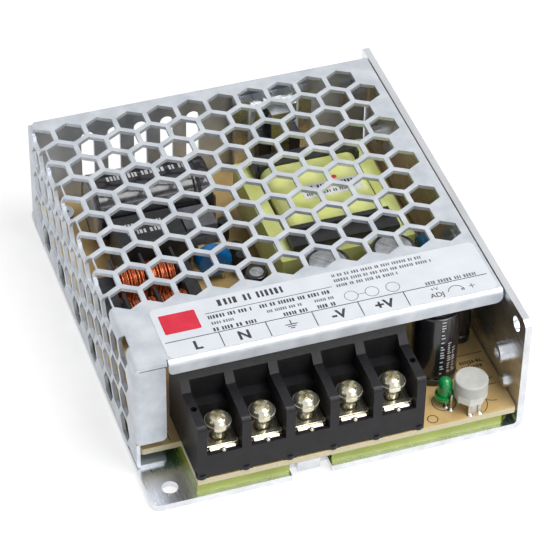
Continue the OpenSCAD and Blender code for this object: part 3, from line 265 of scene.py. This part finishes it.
def grained(name, dark, light, roughness, size=1.0, depth=0.02, stretch=(1, 1, 1),
            metallic=0.0, **sockets):
    """A finish with a colour, a roughness and a relief that all vary a little."""
    finish, tree, shader = new_finish(name, roughness[0], metallic, **sockets)
    broad = grain(tree, size * 6, stretch, 3)
    fine = grain(tree, size, stretch, 5)
    tree.links.new(between(tree, broad, dark, light), shader.inputs["Base Color"])
    tree.links.new(spread(tree, fine, *roughness), shader.inputs["Roughness"])
    raised(tree, shader, fine, depth)
    return finish


FINISH = {}
print("tools ready")

# %% [markdown]
# ## Sheet metal
# The chassis is rolled aluminium, so its marks run along the case. The cover is zinc
# plated steel, with a finer and rounder grain and a cold tint. The heatsink and clips
# take the same two recipes.

# %% Aluminium, steel and nickel
FINISH["chassis_aluminium"] = grained(
    "chassis_aluminium", ink(214, 216, 220), ink(234, 236, 240), (0.24, 0.38),
    size=0.5, depth=0.006, stretch=(1, 0.08, 1), metallic=1.0)
FINISH["cover_steel"] = grained(
    "cover_steel", ink(200, 206, 214), ink(224, 229, 236), (0.34, 0.48),
    size=0.7, depth=0.006, metallic=0.5)
FINISH["bright_steel"] = grained(
    "bright_steel", ink(196, 197, 200), ink(226, 227, 230), (0.16, 0.28),
    size=0.4, depth=0.004, metallic=1.0)
FINISH["nickel_plate"] = grained(
    "nickel_plate", ink(196, 190, 166), ink(236, 232, 214), (0.11, 0.27),
    size=0.35, depth=0.012, metallic=0.85)
FINISH["tinned_copper"] = grained(
    "tinned_copper", ink(178, 168, 146), ink(212, 204, 186), (0.25, 0.42),
    size=0.3, depth=0.006, metallic=1.0)
FINISH["can_aluminium"] = grained(
    "can_aluminium", ink(168, 170, 174), ink(206, 208, 212), (0.25, 0.4),
    size=0.3, depth=0.006, metallic=1.0)
print(len(FINISH), "metals")

# %% [markdown]
# ## Board
# The laminate is tan paper board. Its cut edge is paler and rougher, and its underside
# is green, where the solder mask lies over the copper. Height alone tells the three
# apart, so one material serves: the object's own Z is compared with the board's faces.

# %% Tan above, cream at the edge, green below
board_low, board_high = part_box("circuit_board")


def above(tree, height):
    """1 over that height, in metres, and 0 under it."""
    apart = tree.nodes.new("ShaderNodeSeparateXYZ")
    tree.links.new(place(tree), apart.inputs[0])
    test = tree.nodes.new("ShaderNodeMath")
    test.operation = "GREATER_THAN"
    test.inputs[1].default_value = height
    tree.links.new(apart.outputs["Z"], test.inputs[0])
    return test.outputs[0]


def mixed(tree, value, first, second):
    """first where value is 0, second where it is 1; each is a colour or a socket."""
    mix = tree.nodes.new("ShaderNodeMix")
    mix.data_type = "RGBA"
    tree.links.new(value, mix.inputs["Factor"])
    for socket, colour in ((mix.inputs[6], first), (mix.inputs[7], second)):
        if isinstance(colour, tuple):
            socket.default_value = colour
        else:
            tree.links.new(colour, socket)
    return mix.outputs[2]


laminate, tree, shader = new_finish("board_laminate", 0.45, Coat_Weight=0.15)
top = between(tree, grain(tree, 5), ink(203, 168, 108), ink(226, 194, 134))
edge = between(tree, grain(tree, 0.6, (1, 1, 4)), ink(214, 199, 160), ink(240, 231, 198))
mask = between(tree, grain(tree, 4), ink(6, 84, 56), ink(14, 112, 76))
edged = mixed(tree, above(tree, board_low.z + 0.03 * MM), mask, edge)
faced = mixed(tree, above(tree, board_high.z - 0.03 * MM), edged, top)
tree.links.new(faced, shader.inputs["Base Color"])
tree.links.new(spread(tree, grain(tree, 0.5), 0.36, 0.52), shader.inputs["Roughness"])
raised(tree, shader, grain(tree, 0.4), 0.01)
FINISH["board_laminate"] = laminate
print("board top at", round(board_high.z / MM, 2), "mm")

# %% [markdown]
# ## Plastics and films
# Moulded parts have a fine spark-eroded skin, seen as a soft uneven gloss. The yellow
# green insulating film is glossy and lets some light through its edge. The label is a
# coated paper white. Each has its own grain size and depth.

# %% Mouldings
FINISH["moulded_black"] = grained(
    "moulded_black", ink(22, 22, 25), ink(32, 31, 35), (0.36, 0.5), size=0.4, depth=0.015,
    Specular_IOR_Level=0.32)
FINISH["white_plastic"] = grained(
    "white_plastic", ink(222, 222, 214), ink(240, 240, 234), (0.35, 0.48),
    size=0.5, depth=0.01)
FINISH["grey_plastic"] = grained(
    "grey_plastic", ink(194, 194, 188), ink(210, 210, 204), (0.4, 0.55),
    size=0.35, depth=0.012)
FINISH["silicone_pad"] = grained(
    "silicone_pad", ink(196, 202, 206), ink(220, 225, 228), (0.55, 0.7),
    size=0.3, depth=0.02)
FINISH["fuse_body"] = grained(
    "fuse_body", ink(214, 208, 190), ink(236, 231, 216), (0.3, 0.42),
    size=0.6, depth=0.01)
FINISH["green_lens"] = grained(
    "green_lens", ink(8, 140, 70), ink(20, 168, 90), (0.2, 0.3), size=0.8, depth=0.006,
    Subsurface_Weight=0.35, Subsurface_Scale=0.0012, Coat_Weight=0.3)

# %% Films
FINISH["insulating_film"] = grained(
    "insulating_film", ink(158, 174, 54), ink(184, 200, 80), (0.16, 0.26),
    size=1.5, depth=0.01, Coat_Weight=0.4)
FINISH["yellow_tape"] = grained(
    "yellow_tape", ink(216, 222, 126), ink(234, 238, 160), (0.26, 0.4),
    size=1.2, depth=0.03, Coat_Weight=0.25)
FINISH["label_film"] = grained(
    "label_film", ink(226, 230, 238), ink(236, 240, 246), (0.34, 0.44),
    size=0.8, depth=0.004, Coat_Weight=0.2)
print(len(FINISH), "finishes so far")

# %% [markdown]
# ## Components
# Ferrite is pressed and fired, so it is nearly black with a sandy skin. Epoxy is smooth,
# with a light mottling. Capacitor sleeves are shrunk plastic with a glossy skin. Disc
# parts are dipped, which leaves a slightly wavy gloss.

# %% Ferrite, epoxy and sleeves
FINISH["ferrite"] = grained(
    "ferrite", ink(38, 38, 41), ink(60, 60, 64), (0.5, 0.7), size=0.3, depth=0.03)
FINISH["black_epoxy"] = grained(
    "black_epoxy", ink(30, 30, 32), ink(46, 46, 49), (0.35, 0.5), size=0.35, depth=0.012)
FINISH["grey_epoxy"] = grained(
    "grey_epoxy", ink(88, 90, 96), ink(112, 114, 120), (0.4, 0.55),
    size=0.35, depth=0.012)
FINISH["can_sleeve"] = grained(
    "can_sleeve", ink(24, 24, 28), ink(40, 40, 46), (0.14, 0.26), size=1.2, depth=0.012,
    Coat_Weight=0.4)
FINISH["blue_epoxy"] = grained(
    "blue_epoxy", ink(6, 106, 178), ink(16, 128, 200), (0.18, 0.3), size=1.0, depth=0.03,
    Coat_Weight=0.3)
FINISH["dark_epoxy"] = grained(
    "dark_epoxy", ink(34, 44, 40), ink(52, 62, 56), (0.2, 0.34), size=0.9, depth=0.03)
FINISH["resistor_lacquer"] = grained(
    "resistor_lacquer", ink(196, 176, 132), ink(216, 198, 156), (0.28, 0.4),
    size=0.7, depth=0.02)

# %% [markdown]
# ## Windings
# Enamelled wire lies in rings round each coil. The rings themselves are too many to
# model, so a wave along X gives both the relief and a painted shade line in the groove
# between two turns.
# The mains choke's coils lie along X too. The small drum takes the same wave, to keep
# one finish for all the copper.

# %% Copper in turns
WIRE_PITCH = 0.62
wire, tree, shader = new_finish("enamelled_copper", 0.24, 0.7, Coat_Weight=0.35)
turns = tree.nodes.new("ShaderNodeTexWave")
turns.wave_type, turns.bands_direction = "BANDS", "X"
turns.inputs["Scale"].default_value = 0.314 / (WIRE_PITCH * MM)
turns.inputs["Distortion"].default_value = 0.35
turns.inputs["Detail"].default_value = 0
tree.links.new(place(tree), turns.inputs["Vector"])
# the dark end of this ramp is painted shade in the groove between two turns, the light end is
# the copper's own colour
tree.links.new(between(tree, turns.outputs["Fac"], ink(112, 44, 18), ink(226, 122, 72),
                       0.05, 0.55), shader.inputs["Base Color"])
tree.links.new(spread(tree, grain(tree, 0.5), 0.18, 0.32), shader.inputs["Roughness"])
raised(tree, shader, turns.outputs["Fac"], 0.12, 0.8)
FINISH["enamelled_copper"] = wire
print("turns every", WIRE_PITCH, "mm")

# %% Give every node its finish
for name, node in frame["nodes"].items():
    finish = FINISH[slot_of[name]]
    if not node.material_slots:
        node.data.materials.append(finish)
    for holder in node.material_slots:
        holder.material = finish
print(len(frame["nodes"]), "nodes finished")

# %% [markdown]
# ## Printing
# Ink has almost no thickness, but a flat face laid on another flickers between the two.
# So each mark is a closed film a hundredth of a millimetre thick, set just above its
# ground. Bars come from a cube, rings from a spin, and signs such as L and N from
# Blender's own letters, turned into a mesh.

# %% Making and placing a piece
def to_object(bm, name, finish, body="case", smooth=False):
    """Closes a bmesh into a finished object at the origin that rides on a body."""
    bmesh.ops.remove_doubles(bm, verts=bm.verts, dist=1e-7)
    bmesh.ops.recalc_face_normals(bm, faces=bm.faces)
    mesh = bpy.data.meshes.new(name)
    bm.to_mesh(mesh)
    bm.free()
    for face in mesh.polygons:
        face.use_smooth = smooth
    mesh.materials.append(finish)
    piece = bpy.data.objects.new(name, mesh)
    bpy.context.scene.collection.objects.link(piece)
    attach(piece, body)
    return piece


def bar(bm, x0, x1, y0, y1, z0, z1):
    """A block between those places, in millimetres."""
    size = Matrix.Diagonal(((x1 - x0) * MM, (y1 - y0) * MM, (z1 - z0) * MM, 1))
    middle = Vector(((x0 + x1) / 2, (y0 + y1) / 2, (z0 + z1) / 2)) * MM
    return bmesh.ops.create_cube(bm, size=1, matrix=Matrix.Translation(middle) @ size)


INK_TALL = 0.012


def mark(bm, x0, x1, y0, y1, z):
    """A printed bar that stands on z."""
    bar(bm, x0, x1, y0, y1, z, z + INK_TALL)


def arc(bm, x, y, z, radius, width, start=0, sweep=360, tall=INK_TALL):
    """A printed ring, or part of one, from a small square spun round its middle."""
    a = math.radians(start)
    spot = Vector((x, y, z)) * MM
    size = Matrix.Diagonal((width * MM, 0.0001 * MM, tall * MM, 1))
    shape = Matrix.Translation(spot) @ Matrix.Rotation(a, 4, "Z") @ Matrix.Translation(
        (radius * MM, 0, tall / 2 * MM)) @ size
    corners = [bm.verts.new(shape @ Vector((sx, 0, sz)))
               for sx, sz in ((-0.5, -0.5), (0.5, -0.5), (0.5, 0.5), (-0.5, 0.5))]
    face = bm.faces.new(corners)
    whole = sweep >= 360
    bmesh.ops.spin(bm, geom=corners + list(face.edges) + ([] if whole else [face]),
                   cent=spot, axis=(0, 0, 1), angle=math.radians(sweep),
                   steps=max(6, int(sweep / 12)), use_merge=whole)
    if whole:
        bm.faces.remove(face)


def letters(text, height, thick=0.0):
    """Blender's own letters as a mesh, height millimetres tall, middle at the origin."""
    curve = bpy.data.curves.new("letters", "FONT")
    curve.body, curve.align_x, curve.align_y = text, "CENTER", "CENTER"
    curve.size, curve.extrude, curve.offset = 1.0, 0.004, thick
    curve.resolution_u = 4
    made = bpy.data.objects.new("letters", curve)
    bpy.context.scene.collection.objects.link(made)
    bpy.context.view_layer.update()
    shown = made.evaluated_get(bpy.context.evaluated_depsgraph_get())
    bm = bmesh.new()
    mesh = shown.to_mesh()
    bm.from_mesh(mesh)
    shown.to_mesh_clear()
    bpy.data.objects.remove(made)
    scale = height / 0.72 * MM
    bmesh.ops.scale(bm, vec=(scale, scale, MM), verts=bm.verts)
    return bm


def put(bm, into, x, y, z, turned=0):
    """Adds one bmesh to another at a place in millimetres, turned about Z."""
    move = Matrix.Translation(Vector((x, y, z)) * MM) @ Matrix.Rotation(
        math.radians(turned), 4, "Z")
    bmesh.ops.transform(bm, matrix=move, verts=bm.verts)
    mesh = bpy.data.meshes.new("loose")
    bm.to_mesh(mesh)
    bm.free()
    into.from_mesh(mesh)
    bpy.data.meshes.remove(mesh)


print("printing tools ready")

# %% Inks
black_ink = grained("black_ink", ink(44, 44, 50), ink(62, 62, 68), (0.4, 0.55), size=0.3,
                    depth=0.003)
grey_ink = grained("grey_ink", ink(96, 98, 106), ink(122, 124, 132), (0.4, 0.55), size=0.3,
                   depth=0.003)
red_ink = grained("red_ink", ink(214, 32, 58), ink(228, 48, 72), (0.36, 0.48), size=0.5,
                  depth=0.003)
legend_ink = grained("legend_ink", ink(58, 48, 36), ink(84, 70, 50), (0.45, 0.6), size=0.3,
                     depth=0.003)
white_ink = grained("white_ink", ink(206, 208, 210), ink(232, 234, 236), (0.4, 0.5),
                    size=0.3, depth=0.003)

# %% [markdown]
# ## Label
# The label names each terminal over it: two for the mains, one for earth and two for the
# output, and the trimmer at the right. The fields over them hold plain lines in place of
# words, in the lengths that words have, and a plain coloured field.

# %% The table over the terminals
label_low, label_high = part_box("rating_label")
LEFT, RIGHT = label_low.x / MM, label_high.x / MM
FRONT, BACK = label_low.y / MM, label_high.y / MM
INK_Z = label_high.z / MM + 0.005
RULE_Y = FRONT + 4.6
FIRST_DIVIDER, FIELD_WIDE = -21.4, 10.07
print("label", round(RIGHT - LEFT, 1), "by", round(BACK - FRONT, 1), "mm")

bm = bmesh.new()
LINE = 0.2
mark(bm, LEFT + 0.6, RIGHT - 0.9, RULE_Y, RULE_Y + LINE, INK_Z)
for k in range(5):
    x = FIRST_DIVIDER + k * FIELD_WIDE
    mark(bm, x - LINE / 2, x + LINE / 2, FRONT + 0.25, RULE_Y, INK_Z)
mark(bm, -22.4, 5.3, -26.4, -26.25, INK_Z)
to_object(bm, "label_rules", black_ink)

# %% The terminals' marks
bm = bmesh.new()
SIGN_Y = (FRONT + RULE_Y) / 2 - 0.1
sign_x = [-26.6, -16.6, -6.4, 3.9, 13.9]
for text, x in (("L", sign_x[0]), ("N", sign_x[1]), ("-V", sign_x[3]), ("+V", sign_x[4])):
    put(letters(text, 2.5, 0.035), bm, x, SIGN_Y, INK_Z + 0.005)
earth = sign_x[2]
mark(bm, earth - 0.12, earth + 0.12, SIGN_Y + 0.2, SIGN_Y + 1.5, INK_Z)
for half, up in ((1.35, 0.2), (0.9, -0.35), (0.45, -0.9)):
    mark(bm, earth - half, earth + half, SIGN_Y + up - 0.12, SIGN_Y + up + 0.12, INK_Z)
put(letters("+V", 1.1), bm, 25.4, SIGN_Y + 1.25, INK_Z + 0.005)
put(letters("ADJ", 1.35, 0.01), bm, 25.4, SIGN_Y - 0.65, INK_Z + 0.005)
arc(bm, 29.7, SIGN_Y - 0.7, INK_Z, 1.75, 0.16, 20, 150)
for side in (-1, 1):
    tip = 31.15 + side * 0.2
    mark(bm, tip - 0.12, tip + 0.12, SIGN_Y - 0.75, SIGN_Y - 0.1, INK_Z)
mark(bm, 32.6, 34.0, SIGN_Y - 0.08, SIGN_Y + 0.08, INK_Z)
mark(bm, 33.22, 33.38, SIGN_Y - 0.7, SIGN_Y + 0.7, INK_Z)
to_object(bm, "label_marks", black_ink)

# %% Plain lines in place of words
words = random.Random(7)


def line_of_words(bm, x0, x1, y, tall, z, weight=0.62):
    """Short strokes with gaps, as small print looks from a distance."""
    x = x0
    while x < x1 - tall:
        word = words.randint(2, 6)
        for _ in range(word):
            wide = tall * words.uniform(0.45, 0.75)
            if x + wide > x1:
                return
            mark(bm, x, x + wide * weight, y - tall / 2, y + tall / 2, z)
            x += wide
        x += tall * 0.5


bm = bmesh.new()
line_of_words(bm, -19.0, -4.2, -23.9, 1.9, INK_Z, 0.55)
line_of_words(bm, -22.2, -12.0, -27.6, 1.05, INK_Z)
line_of_words(bm, -11.0, 4.6, -27.6, 1.05, INK_Z)
line_of_words(bm, -22.2, -12.6, -31.4, 1.05, INK_Z)
line_of_words(bm, -7.0, -1.0, -31.4, 1.05, INK_Z)
line_of_words(bm, 0.4, 4.6, -31.4, 1.05, INK_Z)
to_object(bm, "label_lines_bold", black_ink)
bm = bmesh.new()
line_of_words(bm, -22.0, -16.0, -29.5, 0.8, INK_Z)
line_of_words(bm, -10.0, -1.6, -29.5, 0.8, INK_Z)
line_of_words(bm, 0.4, 5.0, -29.5, 0.8, INK_Z)
line_of_words(bm, 6.3, 26.5, -23.2, 0.85, INK_Z)
line_of_words(bm, 6.3, 28.5, -24.8, 0.85, INK_Z)
line_of_words(bm, 6.3, 20.5, -26.4, 0.85, INK_Z)
line_of_words(bm, 24.2, 36.6, -31.5, 0.95, INK_Z)
to_object(bm, "label_lines_fine", grey_ink)

# %% Plain fields
bm = bmesh.new()
mark(bm, -32.0, -24.2, -30.0, -24.2, INK_Z)
bmesh.ops.bevel(bm, geom=[e for e in bm.edges if abs(e.verts[0].co.z - e.verts[1].co.z) > 1e-6],
                offset=0.3 * MM, affect="EDGES", segments=3, profile=0.5, material=-1)
to_object(bm, "label_field", red_ink)
bm = bmesh.new()
arc(bm, 8.2, -30.2, INK_Z, 1.45, 0.14)
arc(bm, 12.8, -30.2, INK_Z, 1.45, 0.14)
arc(bm, 17.4, -30.2, INK_Z, 1.45, 0.14)
mark(bm, 9.7, 11.3, -30.27, -30.13, INK_Z)
to_object(bm, "label_rings", grey_ink)
print("label printed")

# %% [markdown]
# ## Board legend and component marks
# The board's dark legend draws the outline of each part and a few plain circles. The
# sleeves carry a pale stripe on their negative side, and the transformer a white patch
# with plain lines and a paint dot. All are thin films, because on the real parts they
# are ink or paper.

# %% Legend on the board
BOARD_Z = board_high.z / MM + 0.003


def mid(node):
    low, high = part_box(node)
    return (low + high) / 2 / MM, (high - low) / 2 / MM


lens, lens_half = mid("indicator_lens")
knob, knob_half = mid("trimmer_knob")
bm = bmesh.new()
arc(bm, lens.x, lens.y, BOARD_Z, lens_half.x + 0.5, 0.2)
arc(bm, knob.x, knob.y + 0.2, BOARD_Z, knob_half.x + 0.3, 0.2, -60, 250)
arc(bm, 21.1, -47.3, BOARD_Z, 1.1, 0.22)
arc(bm, 36.2, -42.6, BOARD_Z, 3.4, 0.2, 80, 190)
arc(bm, 36.4, -36.5, BOARD_Z, 3.0, 0.2, 60, 240)
for x0, x1, y0, y1 in ((19.4, 19.6, -45, -40.6), (32.4, 38.0, -41.2, -41.0),
                       (31.2, 31.4, -40, -31), (31.2, 38.6, -31.2, -31.0),
                       (-38.5, -32.6, -33.2, -33.0), (-33.4, -33.2, -36.5, -30)):
    mark(bm, x0, x1, y0, y1, BOARD_Z)
line_of_words(bm, 32.6, 38.2, -33.4, 0.9, BOARD_Z)
line_of_words(bm, 32.6, 37.6, -35.0, 0.9, BOARD_Z)
to_object(bm, "board_legend", legend_ink)

# %% Transformer patch
core, core_half = mid("transformer_winding")
TAPE_Z = core.z + core_half.z + 0.005
bm = bmesh.new()
bar(bm, 11.6, 25.4, 8.4, 13.0, TAPE_Z, TAPE_Z + 0.05)
to_object(bm, "transformer_patch", white_ink)
bm = bmesh.new()
line_of_words(bm, 12.4, 24.6, 11.7, 1.3, TAPE_Z + 0.055)
line_of_words(bm, 12.4, 22.0, 9.6, 0.9, TAPE_Z + 0.055)
to_object(bm, "transformer_lines", black_ink)
bm = bmesh.new()
arc(bm, 20.2, 14.0, TAPE_Z, 0.3, 0.6, tall=0.02)
to_object(bm, "transformer_dot", red_ink)

# %% Stripes and strokes up a sleeve
cans, cans_half = mid("output_capacitors")
STROKE = random.Random(3)
FRONT_CAN, REACH = Vector((26.4, -33.4)), 7.5
near = [v.co / MM for v in frame["nodes"]["output_capacitors"].data.vertices
        if (v.co.xy / MM - FRONT_CAN).length < REACH]
CAN_X = (min(v.x for v in near) + max(v.x for v in near)) / 2
CAN_Y = (min(v.y for v in near) + max(v.y for v in near)) / 2
CAN_R = (max(v.x for v in near) - min(v.x for v in near)) / 2
print("front can", round(CAN_X, 1), round(CAN_Y, 1), "radius", round(CAN_R, 2))
bm = bmesh.new()
for turn_, rows, tall in ((-97, 8, 0.9), (-78, 7, 0.6), (-64, 5, 0.6)):
    z = cans.z - cans_half.z + 3.5
    for _ in range(rows * 2):
        arc(bm, CAN_X, CAN_Y, z, CAN_R + 0.012, 0.012, turn_, STROKE.choice((6, 8, 10)),
            tall * 0.35)
        z += tall * STROKE.choice((0.8, 1.0, 1.4))
to_object(bm, "sleeve_strokes", white_ink)

# %% Bright studs in front of the clamps
STUD_R, STUD_IN = 0.55 * MM, 0.4 * MM
bm = bmesh.new()
for k in range(1, 6):
    low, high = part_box(f"terminal_clamp_{k}")
    spot = Vector(((low.x + high.x) / 2, low.y - STUD_IN, high.z - STUD_IN))
    bmesh.ops.create_uvsphere(bm, u_segments=16, v_segments=8, radius=STUD_R,
                              matrix=Matrix.Translation(spot))
to_object(bm, "clamp_studs", FINISH["nickel_plate"], smooth=True)
print("marks made")

# %% Strokes on the mains capacitors
bulk, bulk_half = mid("bulk_capacitor")
film, film_half = mid("film_capacitor")
bm = bmesh.new()
BULK_Z = bulk.z + bulk_half.z + 0.002
line_of_words(bm, bulk.x - bulk_half.x + 4, bulk.x + bulk_half.x - 3, bulk.y - 0.2, 1.5,
              BULK_Z)
FILM_Z = film.z + film_half.z + 0.002
line_of_words(bm, film.x - 5, film.x + 5, film.y + 1.2, 1.3, FILM_Z)
line_of_words(bm, film.x - 5, film.x + 4, film.y - 1.2, 1.3, FILM_Z)
to_object(bm, "mains_strokes", white_ink)

# %% [markdown]
# ## Upper plates of the clamps
# A terminal's clamp is stamped from strip and folded back over itself, so a second,
# thinner leaf lies on the first, open in its middle for the screw and notched at its
# sides. Four eased bars make the open leaf, because the gap between them is the opening
# and the notches at once. It stays under the washer's lowest place.

# %% Folded leaves
LEAF, PLATE_TOP = 0.28, 13.01
bm = bmesh.new()
for k in range(1, 6):
    low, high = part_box(f"terminal_clamp_{k}")
    screw, _ = mid(f"terminal_screw_{k}")
    half = (high.x - low.x) / 2 / MM - 0.3
    z0 = PLATE_TOP
    for x0, x1, y0, y1 in ((-half, half, -2.9, -2.05), (-half, half, 2.05, 2.7),
                           (-half + 0.5, -2.0, -2.1, 2.1), (2.0, half - 0.5, -2.1, 2.1)):
        bar(bm, screw.x + x0, screw.x + x1, screw.y + y0, screw.y + y1, z0, z0 + LEAF)
bmesh.ops.bevel(bm, geom=list(bm.edges), offset=0.08 * MM, affect="EDGES", segments=2,
                profile=0.5, material=-1)
to_object(bm, "clamp_leaves", FINISH["nickel_plate"])
print("leaves", LEAF, "mm thick")

# %% [markdown]
# ## Lead and lugs at the front
# The indicator's lead runs up its front before it enters the lens, and the trimmer has
# two flat lugs under its white base. Both are bent from strip, so each is a bar whose
# edges are eased with a bevel.

# %% Strips at the indicator and the trimmer
bm = bmesh.new()
front_y = lens.y - lens_half.y
bar(bm, lens.x + 0.35, lens.x + 0.8, front_y - 0.5, front_y - 0.15, BOARD_Z, BOARD_Z + 4.2)
bar(bm, lens.x + 0.35, lens.x + 0.8, front_y - 0.5, front_y + 0.9, BOARD_Z + 3.9,
    BOARD_Z + 4.2)
lug_y = knob.y - knob_half.y * 0.8
for x in (knob.x - 1.1, knob.x + 1.1):
    bar(bm, x - 0.4, x + 0.4, lug_y - 0.15, lug_y + 0.15, BOARD_Z, BOARD_Z + 2.75)
bmesh.ops.bevel(bm, geom=list(bm.edges), offset=0.06 * MM, affect="EDGES", segments=2,
                profile=0.5, material=-1)
to_object(bm, "front_strips", FINISH["tinned_copper"])

# %% [markdown]
# ## Solder
# Each lead ends in a small cone of solder. Here it is a low collar round the lead on
# the upper face, which is where the holes are wetted through and where it shows.

# %% Collars of solder
bm = bmesh.new()
for x, y in ((lens.x, lens.y - 1.27), (lens.x, lens.y + 1.27), (lens.x + 0.57, front_y - 0.3),
             (knob.x - 1.1, lug_y), (knob.x + 1.1, lug_y)):
    bmesh.ops.create_cone(bm, cap_ends=True, segments=20, radius1=0.75 * MM,
                          radius2=0.4 * MM, depth=0.25 * MM,
                          matrix=Matrix.Translation((x * MM, y * MM, (BOARD_Z + 0.12) * MM)))
to_object(bm, "solder_collars", FINISH["bright_steel"])

# %% [markdown]
# ## Sizes and the end
# The box of the dressed part is printed, in millimetres.

# %% Print the dressed part's box and finish
low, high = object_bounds()
print("visual", [round(v / MM, 2) for v in high - low], "mm")
